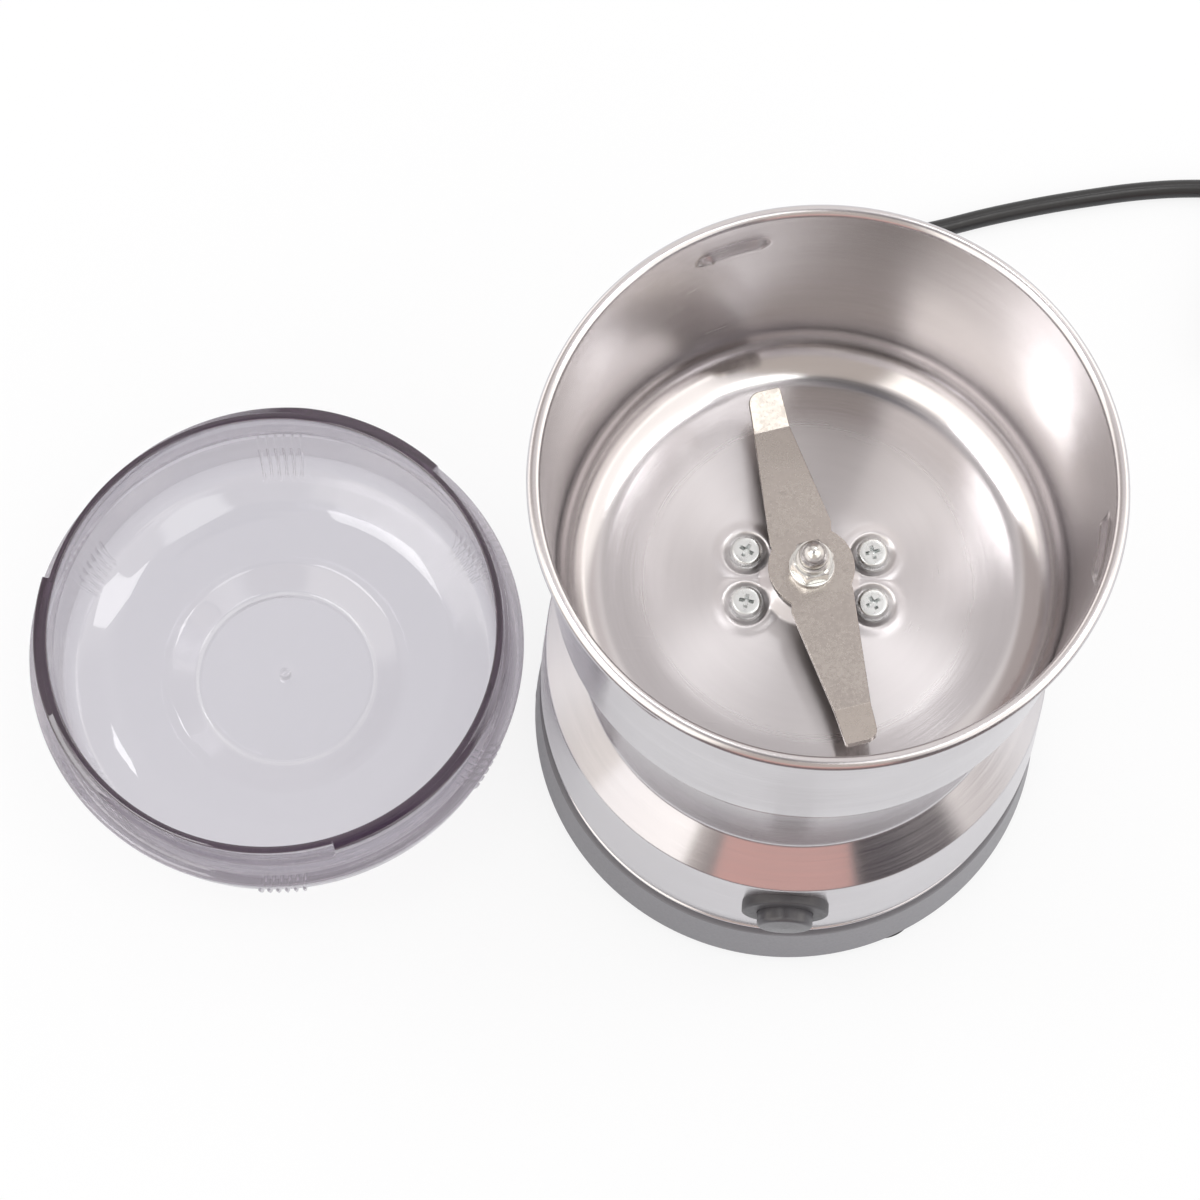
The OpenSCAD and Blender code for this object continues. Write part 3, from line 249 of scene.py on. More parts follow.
def wound(name, colour, pitch, axis):
    """Enamelled copper wire in turns: round ridges at the wire's pitch along an axis, with a gloss, and
    painted shade that darkens each turn towards the grooves between turns.
    """
    made, n = material(name)
    vector, x, y, z = place(n)
    run = from_axis(n, x, y) if axis == "r" else z
    turns = n.math("ABSOLUTE", n.math("SINE", n.math("MULTIPLY", run, math.pi / (pitch * MM))))
    cloud = n.noise(vector, 220.0, 3.0, 0.6)
    # Painted shade: the colour darkens towards the grooves between the turns.
    base = n.mix(n.ramp(turns, 0.0, 0.7, 0.75, 0.0), rgb(*colour), shade(colour, 0.3))
    base = n.mix(n.ramp(cloud, 0.35, 0.7, 0.0, 0.4), base, shade(colour, 0.75))
    height = n.math("ADD", turns, n.math("MULTIPLY", cloud, 0.3))
    bump = n.add("Bump", Height=height, Strength=0.8, Distance=0.0002)
    surface(n, n.add("BsdfPrincipled", Base_Color=base, Metallic=0.55, Roughness=0.32, Normal=bump,
                     Coat_Weight=0.5, Coat_Roughness=0.2))
    return made


def laminated(name, colour):
    """Stacked iron sheets: thin dark lines between the sheets, with a dull oiled face."""
    made, n = material(name)
    vector, _, _, z = place(n)
    stack = n.math("ABSOLUTE", n.math("SINE", n.math("MULTIPLY", z, math.pi / 0.0005)))
    cloud = n.noise(vector, 130.0, 4.0, 0.6)
    base = n.mix(n.ramp(stack, 0.0, 0.35, 0.7, 0.0), rgb(*colour), shade(colour, 0.4))
    base = n.mix(n.ramp(cloud, 0.45, 0.75, 0.0, 0.35), base, rgb(0.22, 0.13, 0.08))
    bump = n.add("Bump", Height=stack, Strength=0.5, Distance=0.00005)
    rough = n.ramp(cloud, 0.3, 0.7, 0.4, 0.6)
    surface(n, n.add("BsdfPrincipled", Base_Color=base, Metallic=0.8, Roughness=rough, Normal=bump))
    return made


def smoky(name):
    """Clear smoky plastic with faint moulding ripples and fine wear, and with painted shade that darkens its
    rim's top face.

    Rays that light other surfaces pass straight through, and so does a share of those that are seen."""
    made, n = material(name)
    vector, _, _, z = place(n)
    ripple = n.noise(vector, 55.0, 2.0, 0.4)
    fine = n.noise(vector, 900.0, 2.0, 0.5)
    height = n.math("ADD", ripple, n.math("MULTIPLY", fine, 0.02))
    bump = n.add("Bump", Height=height, Strength=0.25, Distance=0.0002)
    facing = n.add("SeparateXYZ", out=2, Vector=n.add("TexCoord", out=1))
    # Painted shade: the upward-facing top face of the rim gets a near-black tint and is not passed straight
    # through, standing in for the darkness seen looking down the long path through the wall.
    rim = n.math("MULTIPLY", n.ramp(z, 0.0315, 0.0335), n.ramp(facing, 0.3, 0.75))
    tint = n.mix(rim, rgb(0.77, 0.76, 0.795), rgb(0.03, 0.014, 0.03))
    glass = n.add("BsdfPrincipled", Base_Color=tint, Roughness=n.ramp(fine, 0.4, 0.8, 0.02, 0.06),
                  Transmission_Weight=1.0, IOR=1.49, Normal=bump, Coat_Weight=0.8, Coat_Roughness=0.03)
    light_path = n.add("LightPath", out=None)
    passing = n.math("MAXIMUM", light_path.outputs["Is Shadow Ray"], light_path.outputs["Is Diffuse Ray"])
    clear = n.add("BsdfTransparent", Color=rgb(0.88, 0.87, 0.885))
    straight = n.math("MAXIMUM", passing, n.ramp(rim, 0.0, 1.0, 0.42, 0.0))
    volume = n.add("VolumeAbsorption", Color=rgb(0.4, 0.34, 0.4), Density=50.0)
    surface(n, n.add("MixShader", i0=straight, i1=glass, i2=clear), volume)
    return made


STEEL = (0.665, 0.645, 0.66)
finish = {
    "bowl": spun_metal("spun_bowl", STEEL, 0.31, 1.0, 0.3, 0.8, patchy=0.03, scratches=0.6,
                       zones=((0.117, 0.1235, -0.17), (0.14, 0.15, 0.08))),
    "housing": spun_metal("spun_housing", STEEL, 0.2, -1.0, 0.1, 0.88, patchy=0.02),
    "base": moulded("base_plastic", (0.178, 0.172, 0.184), 0.42, coat=0.1),
    "button": moulded("button_plastic", (0.07, 0.066, 0.072), 0.33, coat=0.15),
    "bezel": moulded("bezel_plastic", (0.055, 0.052, 0.056), 0.42),
    "switch": moulded("switch_plastic", (0.03, 0.03, 0.032), 0.45),
    "rubber": moulded("foot_rubber", (0.018, 0.018, 0.019), 0.62, grain=1100.0, scuff=0.4),
    "zinc": plain_metal("zinc_plate", (0.74, 0.76, 0.76), 0.28, grain=900.0, spots=0.4),
    "bright_zinc": plain_metal("bright_zinc", (0.76, 0.76, 0.74), 0.19, grain=900.0, spots=0.3),
    "blade": plain_metal("blade_steel", (0.5, 0.46, 0.43), 0.24, grain=1500.0, depth=0.00001),
    "cast": plain_metal("cast_metal", (0.62, 0.62, 0.63), 0.5, grain=500.0, depth=0.0001, spots=0.4),
    "iron": laminated("core_iron", (0.3, 0.31, 0.33)),
    "coil_copper": wound("field_copper", (0.72, 0.3, 0.13), 0.45, "r"),
    "rotor_copper": wound("rotor_copper", (0.75, 0.33, 0.15), 0.4, "r"),
    "commutator": plain_metal("commutator_copper", (0.7, 0.36, 0.2), 0.28, grain=800.0,
                              stretch=(0.2, 0.2, 3)),
    "brass": plain_metal("brass_metal", (0.72, 0.58, 0.3), 0.34, grain=700.0),
    "nickel": plain_metal("pin_nickel", (0.72, 0.7, 0.66), 0.25, grain=800.0),
    "carbon": moulded("carbon", (0.02, 0.02, 0.021), 0.7, grain=1800.0, variation=0.3),
    "fan": moulded("fan_plastic", (0.66, 0.63, 0.56), 0.45),
    "wire": moulded("wire_plastic", (0.4, 0.03, 0.025), 0.35),
    "cord": moulded("cord_jacket", (0.016, 0.016, 0.017), 0.34, grain=1300.0, coat=0.1, scuff=0.15),
    "plug": moulded("plug_plastic", (0.02, 0.02, 0.021), 0.38, grain=1200.0),
    "smoky": smoky("smoky_plastic"),
}

# ------------------------------------------------------------------ outlines


def corner(a, b, c, r, step=None, count=None, most=0.95, limit=1.0):
    """Arc that rounds the corner b between a and c, in steps of an angle or in a set number of them.

    The arc's radius is r, or what fits when it may use up to a share of each side."""
    a, b, c = Vector(a), Vector(b), Vector(c)
    u, v = (a - b).normalized(), (c - b).normalized()
    half = math.acos(max(-limit, min(limit, u.dot(v)))) / 2
    reach = min(r / math.tan(half), most * (a - b).length, most * (c - b).length)
    r = reach * math.tan(half)
    middle = b + (u + v).normalized() * r / math.sin(half)
    p, q = b + u * reach - middle, b + v * reach - middle
    start, sweep = math.atan2(p.y, p.x), -p.angle_signed(q)
    count = count or max(2, math.ceil(abs(math.degrees(sweep)) / step))
    turns = [start + sweep * i / count for i in range(count + 1)]
    return [(middle.x + r * math.cos(t), middle.y + r * math.sin(t)) for t in turns]


def rounded(outline, closed=True, step=6.0):
    """Outline of (x, y, radius) points with its corners rounded."""
    count, out = len(outline), []
    for i, p in enumerate(outline):
        if p[2] == 0 or (not closed and i in (0, count - 1)):
            out.append((p[0], p[1]))
        else:
            out += corner(outline[i - 1][:2], p[:2], outline[(i + 1) % count][:2], p[2], step)
    return out


def polar(r, degrees):
    return (r * math.cos(math.radians(degrees)), r * math.sin(math.radians(degrees)))


def arc(middle, r, start, end, step=7.5):
    count = max(2, math.ceil(abs(end - start) / step))
    angles = [math.radians(start + (end - start) * i / count) for i in range(count + 1)]
    return [(middle[0] + r * math.cos(t), middle[1] + r * math.sin(t)) for t in angles]


def offset(path, t):
    """Path of (x, y, radius) points moved by t to its left, with its radii to match."""
    points = [Vector(p[:2]) for p in path]
    lefts = []
    for a, b in zip(points, points[1:]):
        d = (b - a).normalized()
        lefts.append(Vector((-d.y, d.x)))
    out = []
    for i, p in enumerate(path):
        if i in (0, len(path) - 1):
            q, r = points[i] + t * lefts[min(i, len(lefts) - 1)], 0
        else:
            a, b = lefts[i - 1], lefts[i]
            q = points[i] + t * (a + b) / (1 + a.dot(b))
            way = math.copysign(1, a.x * b.y - a.y * b.x)
            r = 0 if p[2] == 0 else max(0.05, p[2] - t * way)
        out.append((q.x, q.y, r))
    return out


def spaced(points, longest, closed=True):
    """The points with straight stretches split to at most a length, and a point near each of their ends."""
    ease, out = 0.12, []
    for a, b in zip(points, points[1:] + points[:1] if closed else points[1:]):
        out.append(a)
        length = math.dist(a, b)
        if length > 4 * ease:
            shares = [ease / length]
            count = math.ceil((length - 2 * ease) / longest)
            shares += [(ease + (length - 2 * ease) * i / count) / length for i in range(1, count)]
            shares.append(1 - ease / length)
            out += [(a[0] + (b[0] - a[0]) * s, a[1] + (b[1] - a[1]) * s) for s in shares]
    if not closed:
        out.append(points[-1])
    return out


# ------------------------------------------------------------------ meshes


def finished(name, mesh, look, body, replaced=(), sharp=35.0):
    """Makes the object, joins doubled points, smooths it, ties it to its body and hides the CAD nodes it
    replaces.
    """
    work = bmesh.new()
    work.from_mesh(mesh)
    bmesh.ops.remove_doubles(work, verts=work.verts, dist=2e-7)
    bmesh.ops.dissolve_degenerate(work, dist=1e-8, edges=work.edges)
    bmesh.ops.recalc_face_normals(work, faces=work.faces)
    work.to_mesh(mesh)
    work.free()
    mesh.shade_smooth()
    mesh.set_sharp_from_angle(angle=math.radians(sharp))
    mesh.materials.clear()
    mesh.materials.append(finish[look])
    piece = bpy.data.objects.new(name, mesh)
    bpy.context.scene.collection.objects.link(piece)
    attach(piece, body)
    if replaced:
        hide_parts(*replaced)
    return piece


def mesh_of(name, points, faces):
    """Mesh from points in millimetres."""
    mesh = bpy.data.meshes.new(name)
    mesh.from_pydata([(x * MM, y * MM, z * MM) for x, y, z in points], [], faces)
    return mesh


def revolved(name, outline, turns=256, closed=True, moved=None, middle=(0, 0), columns=None):
    """Mesh of an outline of (radius, height) points turned about an upright axis.

    columns gives (direction, outline) pairs instead, for a shape that changes as it goes round."""
    if columns is None:
        columns = [(360.0 * i / turns, outline) for i in range(turns)]
    count = len(columns[0][1])
    points = []
    for direction, line in columns:
        c, s = math.cos(math.radians(direction)), math.sin(math.radians(direction))
        for r, z in line:
            p = (r * c, r * s, z)
            if moved:
                p = moved(r, direction, p)
            points.append((p[0] + middle[0], p[1] + middle[1], p[2]))
    faces = []
    for i in range(len(columns)):
        j = (i + 1) % len(columns)
        for k in range(count if closed else count - 1):
            m = (k + 1) % count
            faces.append((i * count + k, j * count + k, j * count + m, i * count + m))
    return mesh_of(name, points, faces)


def laid_flat(mesh, z, turn):
    """Turns a mesh about the X axis, so that its upright axis lies along Y, and lifts it to a height."""
    mesh.transform(Matrix.Translation((0, 0, z * MM)) @ Matrix.Rotation(math.radians(turn), 4, "X"))
    return mesh


def joined(name, meshes):
    """One mesh of several."""
    work = bmesh.new()
    for mesh in meshes:
        work.from_mesh(mesh)
        bpy.data.meshes.remove(mesh)
    out = bpy.data.meshes.new(name)
    work.to_mesh(out)
    work.free()
    return out


def cut_by(piece, cutter_mesh):
    """Cuts the piece with a mesh and keeps the result as its own mesh."""
    cutter = bpy.data.objects.new("cutter", cutter_mesh)
    bpy.context.scene.collection.objects.link(cutter)
    modifier = piece.modifiers.new("cut", "BOOLEAN")
    modifier.operation, modifier.solver, modifier.object = "DIFFERENCE", "EXACT", cutter
    bpy.context.view_layer.update()
    result = bpy.data.meshes.new_from_object(piece.evaluated_get(bpy.context.evaluated_depsgraph_get()))
    piece.modifiers.clear()
    piece.data = result
    bpy.data.objects.remove(cutter)
    result.shade_smooth()
    result.set_sharp_from_angle(angle=math.radians(35))


def eased(piece, width, angle=35.0, segments=2):
    """Rounds the sharp edges of a piece by a width in millimetres."""
    modifier = piece.modifiers.new("edges", "BEVEL")
    modifier.width, modifier.segments = width * MM, segments
    modifier.limit_method, modifier.angle_limit = "ANGLE", math.radians(angle)
    modifier.harden_normals = True
    return piece


def dressed(name, node, look, width, segments=2):
    """A piece of the root body with the CAD node's own shape, cleaned to whole faces, its edges rounded."""
    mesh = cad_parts[node].data.copy()
    mesh.name = name
    work = bmesh.new()
    work.from_mesh(mesh)
    bmesh.ops.remove_doubles(work, verts=work.verts, dist=1e-6)
    bmesh.ops.dissolve_limit(work, angle_limit=math.radians(3), verts=work.verts, edges=work.edges)
    work.to_mesh(mesh)
    work.free()
    return eased(finished(name, mesh, look, "root", (node,)), width, segments=segments)


def smooth_step(low, high, value):
    t = max(0.0, min(1.0, (value - low) / (high - low)))
    return t * t * (3 - 2 * t)


# ------------------------------------------------------------------ mains cord


def through(points, step):
    """Points at even steps along the smooth curve that passes through the given points."""
    points = [Vector(p) for p in points]
    fine = []
    for i in range(len(points) - 1):
        a, b, c = points[max(i - 1, 0)], points[i], points[i + 1]
        d = points[min(i + 2, len(points) - 1)]
        for k in range(16):
            t = k / 16
            fine.append(0.5 * (2 * b + (c - a) * t + (2 * a - 5 * b + 4 * c - d) * t * t
                               + (3 * b - a - 3 * c + d) * t ** 3))
    fine.append(points[-1])
    out, run = [fine[0]], 0.0
    for a, b in zip(fine, fine[1:]):
        run += (b - a).length
        if run >= step:
            out.append(b)
            run = 0.0
    if out[-1] != fine[-1]:
        out.append(fine[-1])
    return out


def coiled():
    """Turns of the coil: inwards on the table, up one diameter, and outwards again on top."""
    out, total = [], COIL_START - COIL_END + COIL_TURNS * 360.0
    count = COIL_TURNS * 48 + 14
    for i in range(count + 1):
        share = i / count
        turn = math.radians(COIL_START - total * share)
        inward = 1 - abs(2 * share - 1)
        r = COIL_OUT - (COIL_OUT - COIL_IN) * inward
        rise = smooth_step(-40.0, 40.0, total * (share - 0.5))
        z = COIL_LOW_Z + (COIL_HIGH_Z - COIL_LOW_Z) * rise
        out.append(Vector((COIL[0] + r * math.cos(turn), COIL[1] + r * math.sin(turn), z)))
    return out


way_out = Vector((math.sin(math.radians(COIL_END)), -math.cos(math.radians(COIL_END)), 0))
off_x, off_y = polar(COIL_OUT, COIL_END)
leaving = Vector((COIL[0] + off_x, COIL[1] + off_y, COIL_HIGH_Z))
line = through(ROUTE, 2.0)
line += [Vector((x, 125.4, COIL_LOW_Z)) for x in (107.0, 111.0, 115.0, 118.5)]
line += coiled()
line += [leaving + way_out * t for t in (3.0, 7.0, 11.0, 15.0, 20.0)]

cord_curve = bpy.data.curves.new("mains_cord", "CURVE")
cord_curve.dimensions = "3D"
spline = cord_curve.splines.new("POLY")
spline.points.add(len(line) - 1)
for point, p in zip(spline.points, line):
    point.co = (p.x * MM, p.y * MM, p.z * MM, 1)
cord_curve.bevel_depth = CORD_R * MM
cord_curve.bevel_resolution = 6
cord_curve.use_fill_caps = True
cord_curve.materials.append(finish["cord"])
cord = bpy.data.objects.new("mains_cord", cord_curve)
bpy.context.scene.collection.objects.link(cord)
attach(cord, "root")
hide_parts("cord_tube", "cord_coil", "cord_lead")

plug = dressed("plug", "plug_body", "plug", 0.5, 3)
tie = dressed("tie", "cord_tie", "rubber", 0.15)

# ------------------------------------------------------------------ grinding bowl

cos_turn, sin_turn = polar(1.0, TURN)
screw_places = [(x * cos_turn - y * sin_turn, x * sin_turn + y * cos_turn) for x, y in SCREWS]


def pressed(r, direction, p):
    """Pushes in the catch ridges of the wall and the dishes round the screws."""
    x, y, z = p
    if r > 44 and 129 < z < 138.5:
        push = 0.0
        for at in RIDGES:
            turn = (direction - at + 180) % 360 - 180
            along = max(0.0, abs(math.radians(turn) * r) - RIDGE_HALF)
            away = math.hypot(along, z - RIDGE_Z)
            if away < 2.6:
                push = max(push, RIDGE_DEPTH * (1 - smooth_step(0.15, 2.6, away)))
        k = (r - push) / r
        return x * k, y * k, z
    if 5.6 < r < 24 and z < 91:
        low, lift = 0.0, 0.0
        for px, py in screw_places:
            away = math.hypot(x - px, y - py)
            low = max(low, 1 - smooth_step(3.15, DISH_R, away))
            lift = max(lift, 1 - smooth_step(DISH_R, 6.5, away))
        return x, y, z - DISH_DEPTH * low + 0.16 * lift * (1 - low)
    return p


foot_r = BOWL_R - (BEAD[1] - FLOOR_Z) * math.tan(LEAN)
bowl_path = [
    (BOWL_R, BEAD[1], 0), (foot_r, FLOOR_Z, 9.0), (HUB_R, FLOOR_Z, 1.5),
    (HUB_R - 2.3, FLOOR_Z + HUB_RISE, 1.0), (HUB_HOLE, FLOOR_Z + HUB_RISE, 0),
]
inside = rounded(bowl_path, closed=False, step=3.0)
outside = rounded(offset(bowl_path, SHEET), closed=False, step=4.0)
outside[0] = (BEAD[0] - 0.35, BEAD[1] - math.sqrt(BEAD_R ** 2 - 0.35 ** 2))
bead = arc(BEAD, BEAD_R, -107, 180)[1:-1]
bowl_line = spaced(inside + outside[::-1] + bead, 0.5)
finished("bowl", revolved("bowl", bowl_line, 480, moved=pressed), "bowl", "root",
         ("grinding_bowl",), sharp=60)

# ------------------------------------------------------------------ body shell

shell_path = [
    (DRUM_R - FOOT_TURN_IN, SHELL_Z + 1.2, 0), (DRUM_R, SHELL_Z + 7.8, 30.0), (CREASE_R, CREASE_Z, 1.1),
    (NECK_R, NECK_Z, 1.5), (NECK_R, DECK_Z, 2.0), (DECK_HOLE_R, DECK_Z, 0),
]
upper_out = rounded(shell_path, closed=False, step=5.0)
upper_in = rounded(offset(shell_path, SHEET), closed=False, step=7.0)
lower_out = rounded([
    (FLANGE_HOLE_R, SHELF_Z, 0), (SPIGOT_R, SHELF_Z, 1.0), (SPIGOT_R, SHELL_Z + 0.2, 0),
], closed=False)
lower_in = [
    (SPIGOT_R - SHEET, SHELL_Z + 0.6), (SPIGOT_R - SHEET, SHELF_Z + SHEET), (FLANGE_HOLE_R, SHELF_Z + SHEET),
]
foot_bead = arc((DRUM_R - 1.2, SHELL_Z + 0.75), 0.5, -70, 50)
shell_line = spaced(lower_out + foot_bead + upper_out + upper_in[::-1] + lower_in, 2.0)
shell = finished("body_housing", revolved("body_housing", shell_line, 384), "housing", "root",
                 ("body_shell",), sharp=50)
hole_line = [(0, -60), (BUTTON_HOLE_R, -60), (BUTTON_HOLE_R, -40), (0, -40)]
cut_by(shell, laid_flat(revolved("hole", hole_line, 64, closed=False), BUTTON_Z, -90))

# ------------------------------------------------------------------ base and feet

ring_line = spaced(rounded([
    (RECESS_R, FOOT_Z, 0), (BASE_R - 0.6, FOOT_Z, 0.4), (BASE_R, 2.9, 0.6), (RING_TOP_R, RING_TOP_Z, 0.35),
    (SEAT_R, RING_TOP_Z, 0.1), (SEAT_R, SHELF_Z, 0), (SHELF_HOLE_R, SHELF_Z, 0), (SHELF_HOLE_R, 12.6, 0),
    (RING_IN_R, 12.6, 0), (RING_IN_R, 4.4, 0), (RECESS_R, 4.4, 0),
]), 1.5)
base = finished("base", revolved("base", ring_line, 320), "base", "root", ("base_ring",))
gland_hole = revolved("gland_hole", [(0, 46), (3.5, 46), (3.5, 56), (0, 56)], 48, closed=False)
cut_by(base, laid_flat(gland_hole, CORD_Z, -90))

foot_line = spaced(rounded([
    (0, 0.35, 0), (4.6, 0.35, 0.3), (5.0, 0, 0.3), (7.1, 0, 0.7), (7.5, FOOT_Z, 0), (2.9, FOOT_Z, 0),
    (2.9, 4.4, 0), (3.5, 4.4, 0.2), (2.6, 5.8, 0.4), (0, 5.8, 0),
], closed=False), 1.0, closed=False)
feet_places = [(0, 0)] + [polar(FEET_R, direction) for direction in FEET_AT]
foot_meshes = [revolved("foot", foot_line, 72, closed=False, middle=at) for at in feet_places]
finished("feet", joined("feet", foot_meshes), "rubber", "root", ("rubber_feet",))

# ------------------------------------------------------------------ screws, blade and nut


def cross_cutter(size, z):
    """Four-armed tapering point of a cross-head driver."""
    tips = []
    for h, long, wide in ((0.3, 1.45, 0.36), (-1.1, 0.5, 0.2)):
        ring = []
        for k in range(4):
            c, s = math.cos(math.pi / 2 * k), math.sin(math.pi / 2 * k)
            for a, b in ((long, -wide), (long, wide), (wide, wide)):
                ring.append((size * (a * c - b * s), size * (a * s + b * c), z + h))
        tips.append(ring)
    count = len(tips[0])
    faces = [tuple(range(count))[::-1], tuple(range(count, 2 * count))]
    faces += [(i, (i + 1) % count, count + (i + 1) % count, count + i) for i in range(count)]
    mesh = mesh_of("cross", tips[1] + tips[0], faces)
    work = bmesh.new()
    work.from_mesh(mesh)
    bmesh.ops.recalc_face_normals(work, faces=work.faces)
    work.to_mesh(mesh)
    work.free()
    return mesh


head_line = spaced(rounded([
    (0, -8, 0), (1.5, -8, 0), (1.5, 0, 0), (SCREW_R, 0, 0.2), (SCREW_R, SCREW_H - 0.05, 0.75),
    (1.9, SCREW_H, 0.5), (0, SCREW_H, 0),
], closed=False), 0.7, closed=False)
screw_meshes = []
for (x, y), turn in zip(screw_places, SCREW_TURNS):
    one = finished("screw", revolved("screw", head_line, 64, closed=False), "zinc", "root")
    cutter = cross_cutter(1.1, SCREW_H)
    cutter.transform(Matrix.Rotation(math.radians(turn), 4, "Z"))
    cut_by(one, cutter)
    one.data.transform(Matrix.Translation((x * MM, y * MM, SCREW_Z * MM)))
    screw_meshes.append(one.data)
    bpy.data.objects.remove(one)
screws = finished("screws", joined("screws", screw_meshes), "zinc", "root", ("bowl_screws",))
eased(screws, 0.08)


def blade_mesh():
    """Two-armed blade cut from one sheet: a round hub, tapering arms, and tips bent up."""
    tip_y = BEND_AT + (BLADE_REACH - BEND_AT) / math.cos(TIP_BEND)
    arm = rounded([
        (5.8, 7.6, 3.0), (3.3, BEND_AT, 0), (3.2, tip_y, 0.6), (-2.9, tip_y, 2.2), (-3.5, BEND_AT, 0),
        (-6.2, 6.0, 2.0),
    ], closed=False, step=12)
    start = math.degrees(math.atan2(arm[-1][1], arm[-1][0]))
    end = math.degrees(math.atan2(-arm[0][1], -arm[0][0])) % 360
    half = arm + arc((0, 0), 7.9, start, end, 5)[1:-1]
    outline = half + [(-x, -y) for x, y in half]
    work = bmesh.new()
    work.faces.new([work.verts.new((x * MM, y * MM, 0)) for x, y in outline])
    for y in (BEND_AT, -BEND_AT):
        bmesh.ops.bisect_plane(work, geom=work.verts[:] + work.edges[:] + work.faces[:],
                               plane_co=(0, y * MM, 0), plane_no=(0, 1, 0))
    raised = bmesh.ops.extrude_face_region(work, geom=work.faces[:])
    bmesh.ops.translate(work, verts=[v for v in raised["geom"] if isinstance(v, bmesh.types.BMVert)],
                        vec=(0, 0, BLADE_T * MM))
    bmesh.ops.recalc_face_normals(work, faces=work.faces)
    for v in work.verts:
        beyond = abs(v.co.y) - BEND_AT * MM
        if beyond > 1e-7:
            z = v.co.z
            y = BEND_AT * MM + beyond * math.cos(TIP_BEND) - z * math.sin(TIP_BEND)
            v.co.z = z * math.cos(TIP_BEND) + beyond * math.sin(TIP_BEND)
            v.co.y = math.copysign(y, v.co.y)
    mesh = bpy.data.meshes.new("blade")
    work.to_mesh(mesh)
    work.free()
    turned = Matrix.Rotation(math.radians(BLADE_TURN), 4, "Z")
    mesh.transform(Matrix.Translation((0, 0, BLADE_Z * MM)) @ turned)
    return mesh


cutting_blade = finished("cutting_blade", blade_mesh(), "blade", "rotor", ("blade",), sharp=12)
eased(cutting_blade, 0.13, angle=12)

washer_line = spaced(rounded([
    (WASHER_HOLE_R, WASHER_Z, 0), (WASHER_R, WASHER_Z, 0.15), (WASHER_R, NUT_Z, 0.2),
    (WASHER_HOLE_R, NUT_Z, 0.1),
]), 1.0)
finished("washer", revolved("washer", washer_line, 96), "bright_zinc", "rotor",
         ("blade_washer",))


def nut_mesh():
    """Acorn nut: a hexagon with turned-off corners, a collar and a domed cap."""
    top = NUT_Z + NUT_H
    dome = arc((0, top + 2.2), DOME_R, 6, 90, 6)
    columns = []
    for i in range(192):
        direction = 360.0 * i / 192
        flat = NUT_ACROSS / 2 / math.cos(math.radians((direction - BLADE_TURN) % 60 - 30))
        fall = max(0.0, flat - 3.62) * 0.62
        columns.append((direction, [
            (2.05, NUT_Z), (flat - 0.25, NUT_Z), (flat, NUT_Z + 0.2), (flat, NUT_Z + 1.0),
            (flat, NUT_Z + 2.2), (flat, top - 0.12 - fall), (flat - 0.1, top - 0.05 - fall * 0.8),
            (3.5, top), (3.15, top + 0.02), (3.1, top + 0.3), (3.02, top + 0.7), (2.75, top + 0.86),
            (DOME_R, top + 1.0), (DOME_R, top + 1.6), (DOME_R, top + 2.2),
        ] + dome))
    return revolved("dome_nut", None, closed=False, columns=columns)


finished("dome_nut", nut_mesh(), "bright_zinc", "rotor", ("acorn_nut",), sharp=30)

# ------------------------------------------------------------------ button

dressed("bezel", "switch_bezel", "bezel", 0.25, 3)


def button_mesh():
    """Push button: a cap on a flange, with a stem behind it."""
    back = CAP_FLANGE - 1.4
    outline = rounded([
        (0, back - 3.6, 0), (2.0, back - 3.6, 0.3), (2.0, back, 0), (6.0, back, 0.1), (6.0, CAP_FLANGE, 0.1),
        (CAP_R, CAP_FLANGE, 0), (CAP_R, CAP_FACE - 0.35, 0.8), (0, CAP_FACE, 0),
    ], closed=False)
    button = revolved("push_button", spaced(outline, 0.8, closed=False), 96, closed=False)
    return laid_flat(button, BUTTON_Z, 90)


finished("push_button", button_mesh(), "button", "button", ("button_cap",))

# ------------------------------------------------------------------ strain relief


def relief_line():
    """Inner barrel, wall groove, flange and a ribbed tail that tapers to the cord."""
    out = [(0, 36.0, 0), (2.4, 36.0, 0.2), (2.4, 47.2, 0), (3.9, 47.2, 0.2), (3.9, 48.8, 0.2), (3.4, 48.8, 0),
           (3.4, 52.0, 0), (4.6, 52.0, 0.2), (4.6, 54.6, 0.5)]
    start, end, ribs, groove = 55.2, 72.6, 7, 0.55
    start_r, end_r = 4.1, 2.95
    for i in range(ribs):
        a = start + (end - start) * i / ribs
        b = start + (end - start) * (i + 0.62) / ribs
        a_r, b_r = [start_r + (end_r - start_r) * (y - start) / (end - start) for y in (a, b)]
        out += [(a_r - groove, a, 0.15), (a_r, a + 0.35, 0.25)]
        out += [(b_r, b, 0.25), (b_r - groove, b + 0.35, 0.15)]
    return out + [(2.5, 72.9, 0.1), (2.7, 73.5, 0.15), (0, 73.5, 0)]


relief_outline = spaced(rounded(relief_line(), closed=False, step=15), 1.0, closed=False)
relief = laid_flat(revolved("strain_relief", relief_outline, 64, closed=False), CORD_Z, -90)
finished("strain_relief", relief, "rubber", "root", ("cord_gland",), sharp=45)

# ------------------------------------------------------------------ lid

RIBS = [35 + 60 * group + (i - 2.5) * 2.1 for group in range(6) for i in range(6)]
RIB_H, RIB_HALF = 0.85, 0.4  # height in millimetres, half width in degrees
RIB_SHAPE = (
    (-RIB_HALF, 0.0), (-0.3, 0.6), (-0.15, 0.8), (0.0, RIB_H), (0.15, 0.8), (0.3, 0.6), (RIB_HALF, 0.0),
)
NO_CUT = 0.04


def ramp_depth(direction):
    """How far the outer part of the skirt is cut down at a direction."""
    for start in (RAMP_START, RAMP_START + 120, RAMP_START + 240):
        turn = (direction - start) % 360
        if turn < RAMP_SWEEP:
            return RAMP_DEPTH * turn / RAMP_SWEEP
    return 0.0


